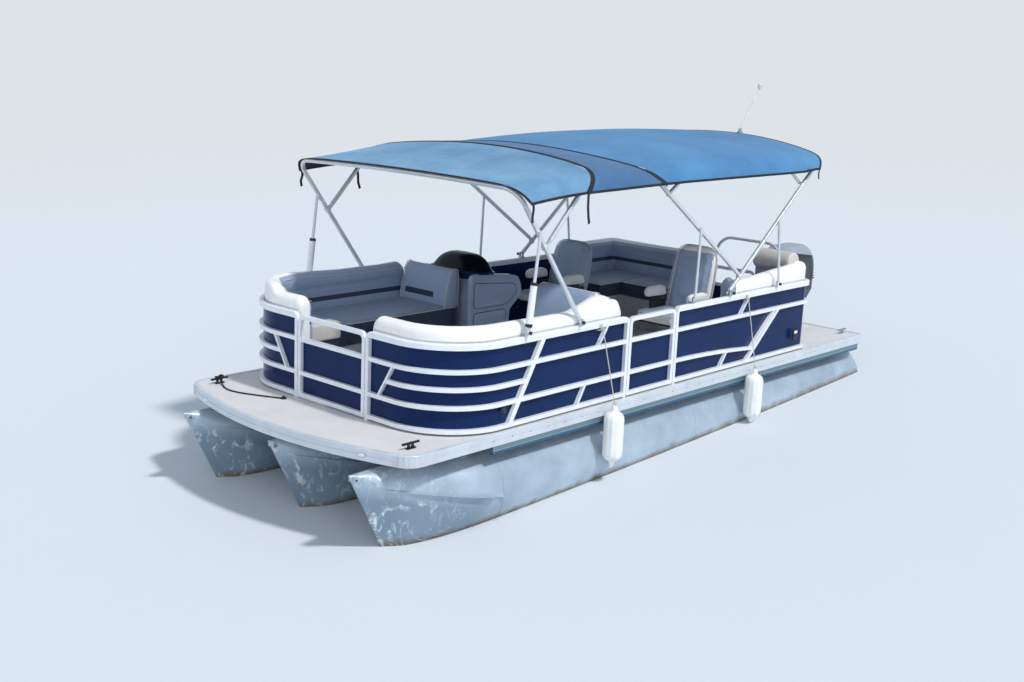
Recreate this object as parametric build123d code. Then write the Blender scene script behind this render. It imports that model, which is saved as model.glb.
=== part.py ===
"""Three-tube pontoon boat with two folding tops, a fenced deck and an outboard, in millimetres.

X points forward, Y to port and Z up. The origin is on the level waterline, on the centreline amidships.
"""
from build123d import *
import math
import os

os.makedirs("parts", exist_ok=True)

# What touches on the real boat is drawn this far apart
SEAT_GAP = 0.3
# Width over the deck's edge; the tubes, the fence and the tops are set in from its sides
BEAM = 2590

# Tubes
TUBE_RADIUS = 317.5
TUBE_Z = 102.5
TUBE_INSET = 317
TUBE_Y = BEAM / 2 - TUBE_INSET
TUBE_STERN_X = -3300
CENTER_TUBE_STERN_X = -2720
NOSE_X = 3340
CENTER_NOSE_X = 3270
NOSE_LENGTH = 1225
STEM_RAKE = 0.515
STEM_TOP_Z = 432
STEM_WIDTH = 14
NOSE_MID_WIDTH = 430
TOW_EYE_RADIUS = 11
TOW_EYE_BOSS_RADIUS = 22
TOW_EYE_LENGTH = 60
TOW_EYE_SETBACK = 48
TOW_EYE_DROP = 42
KEEL_WIDTH = 24
KEEL_DEPTH = 12
WELD_BEAD = 2.5
WELD_PITCH = 2470

# Deck and its edge
DECK_TOP = 568
DECK_THICKNESS = 24
DECK_BOW_X = 3300
BOW_CORNER_X = 3050
DECK_STERN_X = -3330
BOW_CORNER_RADIUS = 150
STERN_CORNER_RADIUS = 60
TRIM_WALL = 12
TRIM_HEIGHT = 88
TRIM_LIP = 30
TRIM_LIP_THICKNESS = 6
TRIM_GROOVE_DROP = 46
TRIM_GROOVE = 7

# Channels under the deck
CHANNEL_HEIGHT = 76
CHANNEL_FLANGE = 42
CHANNEL_WALL = 5
CHANNEL_PITCH = 406
CHANNEL_FIRST_X = -3150
CHANNEL_COUNT = 15
RISER_WIDTH = 120
SKIRT_HEIGHT = 82
SKIRT_WALL = 4
SKIRT_FRONT_X = 2240

# Motor pod
POD_WIDTH = 520
POD_BOTTOM_Z = -175
POD_STERN_X = -3420
TRANSOM_WIDTH = 620
TRANSOM_THICKNESS = 40
TRANSOM_TOP_Z = 455
TRANSOM_BOTTOM_Z = -90

# Fence, measured inwards from its outer face
FENCE_FRONT_X = 2695
FENCE_STERN_X = -2275
FENCE_SETBACK = 45
FENCE_HALF_WIDTH = BEAM / 2 - FENCE_SETBACK
FENCE_BOW_RADIUS = 560
FENCE_STERN_RADIUS = 130
RAIL = 32
TOP_RAIL_DEPTH = 38
TOP_RAIL_Z = 1198
TOP_RAIL_HEIGHT = 47
UPPER_RAIL_Z = 1023
LOWER_RAIL_Z = 758
EXTRA_RAIL_Z = 893
BOTTOM_RAIL_Z = 585
SHEET = 3
POST_CORNER_RADIUS = 62
BOW_GATE_HALF = 395
SIDE_GATE_REAR_X = 0
SIDE_GATE_FRONT_X = 650
STERN_GATE_PORT_Y = 620
STARBOARD_SPLIT_X = 300

# Gates and their hinges
GATE_GAP = 8
GATE_TOP_Z = 1232
GATE_LATCH_GAP = 8
HINGE_RADIUS = 9
HINGE_PIN_RADIUS = 4
HINGE_PIN_CLEARANCE = 0.3
HINGE_OFFSET = 11
HINGE_LENGTH = 44
HINGE_HEIGHTS = (690, 1090)
LEAF = RAIL - 4

# Seats
SEAT_BASE_TOP = 880
CUSHION_THICKNESS = 120
SEAT_TOP = SEAT_BASE_TOP + CUSHION_THICKNESS
BACK_TOP = 1362
BACK_THICKNESS = 130
BACK_DEPTH = 44
SEAT_DEPTH = 690

# Tops: tubes in leaning planes
TOP_TUBE = 30
STUB_TUBE = 24
STUB_BOSS_RADIUS = 10
LEG_SETBACK = 18
TOP_LEG_Y = FENCE_HALF_WIDTH - LEG_SETBACK
STUB_INSET = 37
STUB_LEG_Y = TOP_LEG_Y - STUB_INSET
JAW_OFFSET = 36
JAW_SLEEVE = 38
JAW_SLEEVE_LENGTH = 36
JAW_EAR = 4
JAW_EAR_GAP = 10.5
JAW_PIN_RADIUS = 4
TONGUE_CLEARANCE = 0.3
TONGUE_REACH = 26
BRACE_OUTSET = 12
BRACE_Y = FENCE_HALF_WIDTH + BRACE_OUTSET
BRACE_RADIUS = 12
BRACE_SLEEVE_RADIUS = 16
BRACE_EYE_RADIUS = 14
CANOPY_OVERHANG = 55
CANOPY_HALF = FENCE_HALF_WIDTH + CANOPY_OVERHANG
CANOPY_THICKNESS = 4
CANOPY_CORNER = 150


def block(x0, x1, y0, y1, z0, z1):
    """Box between two corners."""
    return Pos((x0 + x1) / 2, (y0 + y1) / 2, (z0 + z1) / 2) * Box(x1 - x0, y1 - y0, z1 - z0)


def rod(start, end, radius):
    """Round bar between two points."""
    start, end = Vector(*start), Vector(*end)
    bar = Cylinder(radius, (end - start).length, align=(Align.CENTER, Align.CENTER, Align.MIN))
    return Plane(origin=start, z_dir=end - start) * bar


def rounded_path(points, radii=None):
    """Route through points; a corner with no radius is as round as its shorter run allows."""
    radii = list(radii or [None] * (len(points) - 2))
    for index, (before, corner, after) in enumerate(zip(points, points[1:], points[2:])):
        run_in, run_out = corner - before, after - corner
        half_turn = math.radians(run_in.get_angle(run_out)) / 2
        radii[index] = radii[index] or 0.45 * min(run_in.length, run_out.length) / math.tan(half_turn)
    return FilletPolyline(*points, radius=radii)


def mirrored(shape):
    return mirror(shape, about=Plane.XZ)


def save(name, *solids):
    """Write one node. Solids that share a node do not touch."""
    shape = solids[0] if len(solids) == 1 else Compound(children=list(solids))
    shape.label = name
    export_step(shape, f"parts/{name}.step")


# Tubes


def tube_body(y, nose_x, stern_x):
    """One tube with its lofted nosecone, keel strip, weld beads and raised spray strakes."""
    ring_x = nose_x - NOSE_LENGTH
    top_z = TUBE_Z + TUBE_RADIUS
    bottom_z = TUBE_Z - TUBE_RADIUS
    body = Pos(stern_x, y, TUBE_Z) * Rot(0, 90, 0) * Cylinder(
        TUBE_RADIUS, ring_x - stern_x, align=(Align.CENTER, Align.CENTER, Align.MIN))
    ring = Plane(origin=(ring_x, y, TUBE_Z), x_dir=(0, 1, 0), z_dir=(1, 0, 0)) * RectangleRounded(
        2 * TUBE_RADIUS, 2 * TUBE_RADIUS, TUBE_RADIUS - 1)
    middle = Plane(origin=(ring_x + 0.52 * NOSE_LENGTH, y, TUBE_Z + 3), x_dir=(0, 1, 0), z_dir=(1, 0, 0)) * (
        RectangleRounded(NOSE_MID_WIDTH, 2 * TUBE_RADIUS - 6, NOSE_MID_WIDTH / 2 - 4))
    stem_height = STEM_TOP_Z - bottom_z
    stem_mid = Vector(nose_x - STEM_RAKE * stem_height / 2, y, (STEM_TOP_Z + bottom_z) / 2)
    stem_up = Vector(STEM_RAKE, 0, 1).normalized()
    stem_plane = Plane(origin=stem_mid, x_dir=(0, 1, 0), z_dir=Vector(0, 1, 0).cross(stem_up))
    stem = stem_plane * RectangleRounded(
        STEM_WIDTH, stem_height * math.hypot(1, STEM_RAKE), STEM_WIDTH / 2 - 0.5)
    nose = loft([ring, middle, stem])
    body += nose
    body += block(stern_x + 60, ring_x + 200, y - KEEL_WIDTH / 2, y + KEEL_WIDTH / 2,
                  bottom_z - KEEL_DEPTH, bottom_z + 4)
    bead_x = ring_x
    while bead_x > stern_x + 100:
        bead = Pos(bead_x, y, TUBE_Z) * Rot(0, 90, 0) * Cylinder(TUBE_RADIUS + WELD_BEAD, 14)
        body += bead
        bead_x -= WELD_PITCH
    for side in (1, -1):
        fore = Plane(origin=(ring_x + 0.8 * NOSE_LENGTH, y, 0), x_dir=(0, 1, 0), z_dir=(1, 0, 0)) * make_face(
            Polyline((side * 10, top_z - 15), (side * 96, 300), (side * 40, 280), close=True))
        aft = Plane(origin=(ring_x + 20, y, 0), x_dir=(0, 1, 0), z_dir=(1, 0, 0)) * make_face(
            Polyline((side * 235, 300), (side * 342, 84), (side * 280, 60), close=True))
        body += loft([fore, aft])
    eye_x = nose_x - TOW_EYE_SETBACK
    eye_z = STEM_TOP_Z - TOW_EYE_DROP
    body += Pos(eye_x, y, eye_z) * Rot(90, 0, 0) * Cylinder(TOW_EYE_BOSS_RADIUS, TOW_EYE_LENGTH)
    body -= Pos(eye_x, y, eye_z) * Rot(90, 0, 0) * Cylinder(TOW_EYE_RADIUS, 200)
    return body


# Deck


def deck_plan(inset):
    """Deck outline with its bowed front edge and rounded corners, drawn inwards by inset."""
    half = BEAM / 2 - inset
    corner_x, bow_x, stern_x = BOW_CORNER_X - inset, DECK_BOW_X - inset, DECK_STERN_X + inset
    edge = Curve() + [
        Line((stern_x, -half), (corner_x, -half)),
        ThreePointArc((corner_x, -half), (bow_x, 0), (corner_x, half)),
        Line((corner_x, half), (stern_x, half)),
        Line((stern_x, half), (stern_x, -half)),
    ]
    plan = make_face(edge)
    bow = [v for v in plan.vertices() if v.X > 0]
    plan = fillet(bow, BOW_CORNER_RADIUS - inset)
    stern = [v for v in plan.vertices() if v.X < stern_x + 1]
    return fillet(stern, STERN_CORNER_RADIUS - inset)


def slab(plan, z0, z1):
    return extrude(Pos(0, 0, z0) * plan, z1 - z0)


def deck_panel():
    return slab(deck_plan(TRIM_WALL + SEAT_GAP), DECK_TOP - DECK_THICKNESS, DECK_TOP)


def edge_trim():
    """Extruded trim round the deck: web, lip over the deck and a groove along the web."""
    top = DECK_TOP + SEAT_GAP + TRIM_LIP_THICKNESS
    bottom = top - TRIM_HEIGHT
    trim = slab(deck_plan(0), bottom, top)
    outer_top = trim.edges().group_by(Axis.Z)[-1]
    outer_bottom = trim.edges().group_by(Axis.Z)[0]
    trim = fillet(outer_top, TRIM_LIP_THICKNESS - 1)
    trim = fillet(trim.edges().group_by(Axis.Z)[0], TRIM_LIP_THICKNESS - 1)
    trim -= slab(deck_plan(TRIM_WALL), bottom - 1, DECK_TOP + SEAT_GAP)
    trim -= slab(deck_plan(TRIM_LIP), bottom - 1, top + 1)
    groove_z = top - TRIM_GROOVE_DROP
    trim -= slab(deck_plan(-5) - deck_plan(3), groove_z, groove_z + TRIM_GROOVE)
    return trim


def deck_frame():
    """Cross channels joined by the three inverted-channel risers that stand on the tubes."""
    top = DECK_TOP - DECK_THICKNESS - SEAT_GAP
    bottom = top - CHANNEL_HEIGHT
    half = BEAM / 2 - TRIM_WALL - SKIRT_WALL - 2 * SEAT_GAP
    profile = Rectangle(CHANNEL_FLANGE, CHANNEL_HEIGHT) - Pos(CHANNEL_WALL, 0) * Rectangle(
        CHANNEL_FLANGE, CHANNEL_HEIGHT - 2 * CHANNEL_WALL)
    channel = extrude(Plane(origin=(0, -half, 0), x_dir=(1, 0, 0), z_dir=(0, 1, 0)) * profile, 2 * half)
    frame = None
    for index in range(CHANNEL_COUNT):
        x = CHANNEL_FIRST_X + index * CHANNEL_PITCH
        beam = Pos(x, 0, (top + bottom) / 2) * channel
        frame = beam if frame is None else frame + beam
    front = CHANNEL_FIRST_X + (CHANNEL_COUNT - 1) * CHANNEL_PITCH + CHANNEL_FLANGE
    leg_y = RISER_WIDTH / 2 - CHANNEL_WALL
    seat_z = TUBE_Z + math.sqrt((TUBE_RADIUS + WELD_BEAD) ** 2 - leg_y ** 2) + SEAT_GAP
    for y, stern_x in ((TUBE_Y, TUBE_STERN_X), (0, CENTER_TUBE_STERN_X), (-TUBE_Y, TUBE_STERN_X)):
        rear = max(CHANNEL_FIRST_X - CHANNEL_FLANGE, stern_x + 30)
        riser = block(rear, front, y - RISER_WIDTH / 2, y + RISER_WIDTH / 2, seat_z, bottom + 2)
        riser -= block(rear - 1, front + 1, y - RISER_WIDTH / 2 + CHANNEL_WALL,
                       y + RISER_WIDTH / 2 - CHANNEL_WALL, seat_z - 1, bottom - CHANNEL_WALL)
        frame += riser
    return frame


def side_skirt():
    """Folded sheet below the trim that hides the channel ends, port side."""
    outer = BEAM / 2 - TRIM_WALL - SEAT_GAP
    top = DECK_TOP - DECK_THICKNESS - SEAT_GAP
    bottom = DECK_TOP + TRIM_LIP_THICKNESS - TRIM_HEIGHT - SKIRT_HEIGHT + 18
    skirt = block(DECK_STERN_X + 90, SKIRT_FRONT_X, outer - SKIRT_WALL, outer, bottom, top)
    return skirt + block(DECK_STERN_X + 90, SKIRT_FRONT_X, outer - 26, outer, bottom, bottom + SKIRT_WALL)


def motor_pod():
    """Welded box behind the middle tube with the transom plate that carries the outboard."""
    top = DECK_TOP - DECK_THICKNESS - CHANNEL_HEIGHT - 2 * SEAT_GAP
    front = CENTER_TUBE_STERN_X - SEAT_GAP
    outline = Polyline((front, top), (POD_STERN_X + 160, top), (POD_STERN_X + 130, TRANSOM_TOP_Z - 130),
                       (POD_STERN_X, TRANSOM_TOP_Z - 130), (POD_STERN_X, POD_BOTTOM_Z + 90),
                       (POD_STERN_X + 120, POD_BOTTOM_Z), (front, POD_BOTTOM_Z), close=True)
    side = Plane(origin=(0, POD_WIDTH / 2, 0), x_dir=(1, 0, 0), z_dir=(0, -1, 0)) * make_face(outline)
    pod = extrude(side, POD_WIDTH)
    pod += block(POD_STERN_X - TRANSOM_THICKNESS, POD_STERN_X, -TRANSOM_WIDTH / 2, TRANSOM_WIDTH / 2,
                 TRANSOM_BOTTOM_Z, TRANSOM_TOP_Z)
    return pod


# Fence


def fence_plan(depth):
    """Fence outline, drawn inwards by depth from the outer face."""
    front, rear = FENCE_FRONT_X - depth, FENCE_STERN_X + depth
    half = FENCE_HALF_WIDTH - depth
    plan = Pos((front + rear) / 2, 0) * Rectangle(front - rear, 2 * half)
    plan = fillet([v for v in plan.vertices() if v.X > 0], FENCE_BOW_RADIUS - depth)
    stern = [v for v in plan.vertices() if v.X < rear + 1]
    return fillet(stern, max(FENCE_STERN_RADIUS - depth, 12))


def fence_ring(depth0, depth1, z0, z1):
    """Band that follows the fence between two depths and two heights."""
    return slab(fence_plan(depth0) - fence_plan(depth1), z0, z1)


def fence_region(x0, x1, y0, y1, rounded):
    """Box of one fence section whose top corners at the named ends are rounded."""
    box = block(x0, x1, y0, y1, DECK_TOP + SEAT_GAP, TOP_RAIL_Z + TOP_RAIL_HEIGHT)
    tops = box.edges().group_by(Axis.Z)[-1]
    ends = [e for e in tops for axis, value in rounded
            if abs((e.center().X if axis == "x" else e.center().Y) - value) < 1]
    return fillet(ends, POST_CORNER_RADIUS) if ends else box


def slanted_bar(top, bottom, width, side=1):
    """Brace in the plane of a side fence between two (x, z) points."""
    (x0, z0), (x1, z1) = top, bottom
    half = width / 2
    outline = make_face(Polyline((x0 - half, z0), (x0 + half, z0), (x1 + half, z1), (x1 - half, z1), close=True))
    plane = Plane(origin=(0, FENCE_HALF_WIDTH, 0), x_dir=(1, 0, 0), z_dir=(0, -1, 0))
    bar = extrude(plane * outline, RAIL)
    return bar if side > 0 else mirrored(bar)


def front_bar(top, bottom, width, side=1):
    """Brace in the plane of the front fence between two (y, z) points."""
    (y0, z0), (y1, z1) = top, bottom
    half = width / 2
    outline = make_face(Polyline((y0 - half, z0), (y0 + half, z0), (y1 + half, z1), (y1 - half, z1), close=True))
    plane = Plane(origin=(FENCE_FRONT_X - RAIL, 0, 0), x_dir=(0, 1, 0), z_dir=(1, 0, 0))
    bar = extrude(plane * outline, RAIL)
    return bar if side > 0 else mirrored(bar)


def rails(lower=True):
    """All rails that run round the whole fence."""
    top = fence_ring(0, TOP_RAIL_DEPTH, TOP_RAIL_Z, TOP_RAIL_Z + TOP_RAIL_HEIGHT)
    top = fillet(top.edges().group_by(Axis.Z)[-1], 12)
    bands = [top, fence_ring(0, RAIL, UPPER_RAIL_Z, UPPER_RAIL_Z + RAIL),
             fence_ring(0, RAIL, BOTTOM_RAIL_Z, BOTTOM_RAIL_Z + RAIL)]
    if lower:
        bands.append(fence_ring(0, RAIL, LOWER_RAIL_Z, LOWER_RAIL_Z + RAIL))
    return bands


def posts(places):
    """Square posts from the deck to the top rail at (x, y) low corners."""
    return [block(x, x + RAIL, y, y + RAIL, DECK_TOP + SEAT_GAP, TOP_RAIL_Z + 20) for x, y in places]


def joined(pieces):
    whole = pieces[0]
    for piece in pieces[1:]:
        whole += piece
    return whole


# Slanting braces: (top x, top z), (bottom x, bottom z), width
BOW_SIDE_BRACES = [
    ((1700, TOP_RAIL_Z), (2030, BOTTOM_RAIL_Z + RAIL), 46),
    ((933, TOP_RAIL_Z), (1031, UPPER_RAIL_Z + RAIL), 20),
    ((1179, LOWER_RAIL_Z), (1262, BOTTOM_RAIL_Z + RAIL), 20),
]
QUARTER_BRACES = [
    ((-1643, UPPER_RAIL_Z), (-1173, BOTTOM_RAIL_Z + RAIL), 44),
    ((-1583, UPPER_RAIL_Z), (-1195, 700), 18),
    ((-1118, TOP_RAIL_Z), (-1004, UPPER_RAIL_Z + RAIL), 20),
    ((-812, 735), (-728, BOTTOM_RAIL_Z + RAIL), 20),
]
FRONT_BRACE = ((680, UPPER_RAIL_Z), (537, LOWER_RAIL_Z + RAIL), 18)


def bow_fence(side):
    """Curved forward fence; the port one ends at the side gate, the starboard one at the split."""
    end = SIDE_GATE_FRONT_X if side > 0 else STARBOARD_SPLIT_X
    region = fence_region(end, FENCE_FRONT_X, BOW_GATE_HALF, FENCE_HALF_WIDTH,
                          [("y", BOW_GATE_HALF)] + ([("x", end)] if side > 0 else []))
    frame = joined(rails())
    extra = fence_ring(0, RAIL, EXTRA_RAIL_Z, EXTRA_RAIL_Z + RAIL) & block(
        1880, FENCE_FRONT_X, 615, FENCE_HALF_WIDTH, EXTRA_RAIL_Z, EXTRA_RAIL_Z + RAIL)
    frame += extra
    frame += joined(posts([(FENCE_FRONT_X - RAIL, BOW_GATE_HALF), (end, FENCE_HALF_WIDTH - RAIL)]))
    frame += joined([slanted_bar(*row) for row in BOW_SIDE_BRACES])
    frame += front_bar(*FRONT_BRACE)
    frame &= region
    return frame if side > 0 else mirrored(frame)


def quarter_fence():
    """Port quarter fence from the side gate round the stern corner to the stern gate."""
    region = fence_region(FENCE_STERN_X, SIDE_GATE_REAR_X, STERN_GATE_PORT_Y, FENCE_HALF_WIDTH,
                          [("x", SIDE_GATE_REAR_X), ("y", STERN_GATE_PORT_Y)])
    frame = joined(rails(lower=False))
    frame += joined(posts([(SIDE_GATE_REAR_X - RAIL, FENCE_HALF_WIDTH - RAIL), (FENCE_STERN_X, STERN_GATE_PORT_Y)]))
    frame += joined([slanted_bar(*row) for row in QUARTER_BRACES])
    low = [(-RAIL / 2, LOWER_RAIL_Z), (-650, LOWER_RAIL_Z - 18), (-1250, LOWER_RAIL_Z - 62)]
    high = [(x, z + 30) for x, z in low]
    outline = Curve() + [ThreePointArc(*low), Line(low[2], high[2]), ThreePointArc(*high[::-1]),
                         Line(high[0], low[0])]
    plane = Plane(origin=(0, FENCE_HALF_WIDTH, 0), x_dir=(1, 0, 0), z_dir=(0, -1, 0))
    frame += extrude(plane * make_face(outline), RAIL)
    return frame & region


def starboard_fence():
    """Starboard fence from the split round the stern corner to the stern gate."""
    region = fence_region(FENCE_STERN_X, STARBOARD_SPLIT_X - 2 * SEAT_GAP, -FENCE_HALF_WIDTH, 0, [("y", 0)])
    frame = joined(rails())
    end = STARBOARD_SPLIT_X - 2 * SEAT_GAP - RAIL
    frame += joined(posts([(end, -FENCE_HALF_WIDTH), (FENCE_STERN_X, -RAIL)]))
    frame += joined([slanted_bar(*row, side=-1) for row in QUARTER_BRACES[:1] + QUARTER_BRACES[2:3]])
    return frame & region


def sheet(x0, x1, y0, y1):
    """Painted sheet on the inner face of the rails of one section."""
    band = fence_ring(RAIL + SEAT_GAP, RAIL + SEAT_GAP + SHEET, BOTTOM_RAIL_Z + 6, TOP_RAIL_Z - SEAT_GAP)
    return band & block(x0, x1, y0, y1, 0, 2000)


def hinge_half(moving):
    """Hinge knuckles in the gate's own frame: the gate runs along +X from the gap, outwards is +Y."""
    axis = (-GATE_GAP / 2, -RAIL - HINGE_OFFSET)
    pieces = []
    for z in HINGE_HEIGHTS:
        low = z + HINGE_LENGTH / 2 + 0.4 if moving else z
        high = z + HINGE_LENGTH if moving else z + HINGE_LENGTH / 2
        knuckle = Pos(*axis, low) * Cylinder(HINGE_RADIUS, high - low, align=(Align.CENTER, Align.CENTER, Align.MIN))
        if moving:
            leaf = block(-GATE_GAP / 2, 34, -RAIL - HINGE_OFFSET, -RAIL - HINGE_OFFSET + 4, low, high)
            leaf += block(4, 34, -RAIL - HINGE_OFFSET, -RAIL + 1, low, high)
            knuckle = knuckle + leaf - Pos(*axis, low - 1) * Cylinder(
                HINGE_PIN_RADIUS + HINGE_PIN_CLEARANCE, high - low + 2,
                align=(Align.CENTER, Align.CENTER, Align.MIN))
        else:
            leaf = block(-LEAF, -GATE_GAP / 2, -RAIL - HINGE_OFFSET, -RAIL - HINGE_OFFSET + 4, low, high)
            leaf += block(-LEAF, -GATE_GAP - 4, -RAIL - HINGE_OFFSET, -RAIL + 1, low, high)
            knuckle = knuckle + leaf + Pos(*axis, low) * Cylinder(
                HINGE_PIN_RADIUS, HINGE_LENGTH - 2, align=(Align.CENTER, Align.CENTER, Align.MIN))
        pieces.append(knuckle)
    return joined(pieces)


def gate(opening):
    """Gate in its own frame: rounded frame, two rails, sheet below the upper one, hinge knuckles."""
    width = opening - GATE_GAP - GATE_LATCH_GAP
    low, high = BOTTOM_RAIL_Z, GATE_TOP_Z
    face = Pos(width / 2, (low + high) / 2) * Rectangle(width, high - low)
    face = fillet([v for v in face.vertices() if v.Y > high - 1], POST_CORNER_RADIUS)
    hole = Pos(width / 2, (low + high) / 2) * Rectangle(width - 2 * RAIL, high - low - 2 * RAIL)
    hole = fillet([v for v in hole.vertices() if v.Y > high - RAIL - 1], POST_CORNER_RADIUS - RAIL)
    upright = Plane(origin=(0, 0, 0), x_dir=(1, 0, 0), z_dir=(0, -1, 0))
    frame = extrude(upright * (face - hole), RAIL)
    for z in (UPPER_RAIL_Z, LOWER_RAIL_Z):
        frame += block(RAIL - 1, width - RAIL + 1, -RAIL, 0, z, z + RAIL)
    frame += block(RAIL - 1, width - RAIL + 1, -RAIL, -RAIL + SHEET, low + 1, UPPER_RAIL_Z + 1)
    return frame + hinge_half(True)


# Where each gate's own frame sits: the gap side is its origin and it opens inwards
GATE_PLACES = {
    "gate_bow": (Pos(FENCE_FRONT_X, BOW_GATE_HALF - GATE_GAP, 0) * Rot(0, 0, -90), 2 * BOW_GATE_HALF),
    "gate_side": (Pos(SIDE_GATE_REAR_X + GATE_GAP, FENCE_HALF_WIDTH, 0), SIDE_GATE_FRONT_X - SIDE_GATE_REAR_X),
    "gate_stern": (Pos(FENCE_STERN_X, GATE_GAP, 0) * Rot(0, 0, 90), STERN_GATE_PORT_Y),
}


# Seats


def plan_box(x0, x1, y0, y1):
    return Pos((x0 + x1) / 2, (y0 + y1) / 2) * Rectangle(x1 - x0, y1 - y0)


BOW_COUCH_END_X = 700
BOW_COUCH_IN_Y = 470
STERN_COUCH_FRONT_X = -1250
STERN_COUCH_END_Y = -48
BENCH_FRONT_X = -1450
BENCH_END_Y = 668


def couch_base(plan):
    base = slab(plan, DECK_TOP + SEAT_GAP, SEAT_BASE_TOP)
    return base


def upholstery(seat_plan, back_plan, *extra):
    """Seat cushion and back of one couch, joined where the back stands on the cushion."""
    seat = slab(seat_plan, SEAT_BASE_TOP + SEAT_GAP, SEAT_TOP)
    seat = fillet(seat.edges().group_by(Axis.Z)[-1], 30)
    back = slab(back_plan, SEAT_TOP - 40, BACK_TOP)
    back = fillet(back.edges().group_by(Axis.Z)[-1], 42)
    whole = seat + back
    for piece in extra:
        whole += piece
    return whole


def bow_couch(end_x, side):
    """Bow couch with a back round the corner and a raised back rest across its after end."""
    inner = fence_plan(BACK_DEPTH)
    seat_plan = inner & plan_box(end_x, FENCE_FRONT_X, BOW_COUCH_IN_Y, FENCE_HALF_WIDTH)
    base_plan = fence_plan(BACK_DEPTH + 14) & plan_box(end_x + 14, FENCE_FRONT_X, BOW_COUCH_IN_Y + 20, FENCE_HALF_WIDTH)
    back_plan = (inner - fence_plan(BACK_DEPTH + BACK_THICKNESS)) & plan_box(
        end_x, FENCE_FRONT_X, BOW_COUCH_IN_Y, FENCE_HALF_WIDTH)
    rest = Plane(origin=(0, FENCE_HALF_WIDTH - BACK_DEPTH, 0), x_dir=(1, 0, 0), z_dir=(0, -1, 0)) * make_face(
        Polyline((end_x, SEAT_TOP - 40), (end_x + 420, SEAT_TOP - 40), (end_x + 230, BACK_TOP + 40),
                 (end_x + 60, BACK_TOP + 40), (end_x, BACK_TOP - 40), close=True))
    rest = extrude(rest, FENCE_HALF_WIDTH - BACK_DEPTH - BOW_COUCH_IN_Y - 30)
    base, top = couch_base(base_plan), upholstery(seat_plan, back_plan, rest)
    return (base, top) if side > 0 else (mirrored(base), mirrored(top))


def stern_couch():
    """L-shaped couch in the starboard stern corner."""
    half = FENCE_HALF_WIDTH
    reach = FENCE_STERN_X + SEAT_DEPTH
    outline = plan_box(FENCE_STERN_X, STERN_COUCH_FRONT_X, -half, -half + SEAT_DEPTH) + plan_box(
        FENCE_STERN_X, reach, -half, STERN_COUCH_END_Y)
    inner = fence_plan(BACK_DEPTH)
    seat_plan = inner & outline
    base_plan = fence_plan(BACK_DEPTH + 14) & offset(outline, -16, kind=Kind.INTERSECTION)
    back_plan = (inner - fence_plan(BACK_DEPTH + BACK_THICKNESS)) & outline
    return couch_base(base_plan), upholstery(seat_plan, back_plan)


def stern_bench():
    """Bench in the port stern corner; its back runs forward past the seat as a side bolster."""
    half = FENCE_HALF_WIDTH
    outline = plan_box(FENCE_STERN_X, BENCH_FRONT_X, BENCH_END_Y, half)
    reach = plan_box(FENCE_STERN_X, -950, BENCH_END_Y, half)
    inner = fence_plan(BACK_DEPTH)
    seat_plan = inner & outline
    base_plan = fence_plan(BACK_DEPTH + 14) & plan_box(FENCE_STERN_X, BENCH_FRONT_X - 16, BENCH_END_Y + 16, half)
    back_plan = (inner - fence_plan(BACK_DEPTH + BACK_THICKNESS)) & reach
    head = block(FENCE_STERN_X + BACK_DEPTH, FENCE_STERN_X + BACK_DEPTH + 230, BENCH_END_Y, half - 150,
                 BACK_TOP - 60, BACK_TOP + 60)
    head = fillet(head.edges(), 40)
    return couch_base(base_plan), upholstery(seat_plan, back_plan, head)


# Helm and chairs

CONSOLE_PORT_Y = -380
CONSOLE_SETBACK = 60
CONSOLE_STARBOARD_Y = CONSOLE_SETBACK - FENCE_HALF_WIDTH
CONSOLE_FRONT_X = 800
CONSOLE_REAR_X = 260
CONSOLE_TOP_Z = 1320
DASH_LOW_Z = 1110
DASH_TOP_X = 560
WHEEL_RADIUS = 175
WHEEL_Y = -770
WHEEL_RIM = 14
WHEEL_STANDOFF = 74
POD_DOME_HEIGHT = 150

DASH = Vector(CONSOLE_REAR_X - DASH_TOP_X, 0, DASH_LOW_Z - CONSOLE_TOP_Z).normalized()
DASH_NORMAL = Vector(DASH.Z, 0, -DASH.X)
WHEEL_FOOT = Vector((CONSOLE_REAR_X + DASH_TOP_X) / 2, WHEEL_Y, (DASH_LOW_Z + CONSOLE_TOP_Z) / 2)


def helm_console():
    """Moulded console with a raked front and a sloping dash facing aft, and the throttle on its side."""
    outline = Polyline((CONSOLE_REAR_X + 40, DECK_TOP + SEAT_GAP), (CONSOLE_FRONT_X - 60, DECK_TOP + SEAT_GAP),
                       (CONSOLE_FRONT_X, CONSOLE_TOP_Z - 190), (CONSOLE_FRONT_X - 60, CONSOLE_TOP_Z - 30),
                       (DASH_TOP_X + 60, CONSOLE_TOP_Z), (DASH_TOP_X, CONSOLE_TOP_Z),
                       (CONSOLE_REAR_X, DASH_LOW_Z), close=True)
    side = Plane(origin=(0, CONSOLE_PORT_Y, 0), x_dir=(1, 0, 0), z_dir=(0, -1, 0)) * make_face(outline)
    console = extrude(side, CONSOLE_PORT_Y - CONSOLE_STARBOARD_Y)
    port_edges = [e for e in console.edges() if abs(e.center().Y - CONSOLE_PORT_Y) < 1 and e.center().Z > DECK_TOP + 5]
    console = fillet(port_edges, 30)
    boss_end = WHEEL_FOOT + DASH_NORMAL * (WHEEL_STANDOFF - 24)
    console += rod(WHEEL_FOOT - DASH_NORMAL * 5, boss_end, 34)
    lever_foot = Vector(DASH_TOP_X - 170, CONSOLE_PORT_Y, CONSOLE_TOP_Z - 190)
    console += rod(lever_foot - Vector(0, 5, 0), lever_foot + Vector(0, 40, 0), 34)
    grip = lever_foot + Vector(-20, 30, 150)
    console += rod(lever_foot + Vector(0, 26, 0), grip, 9)
    return console + Pos(*grip) * Sphere(19)


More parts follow.
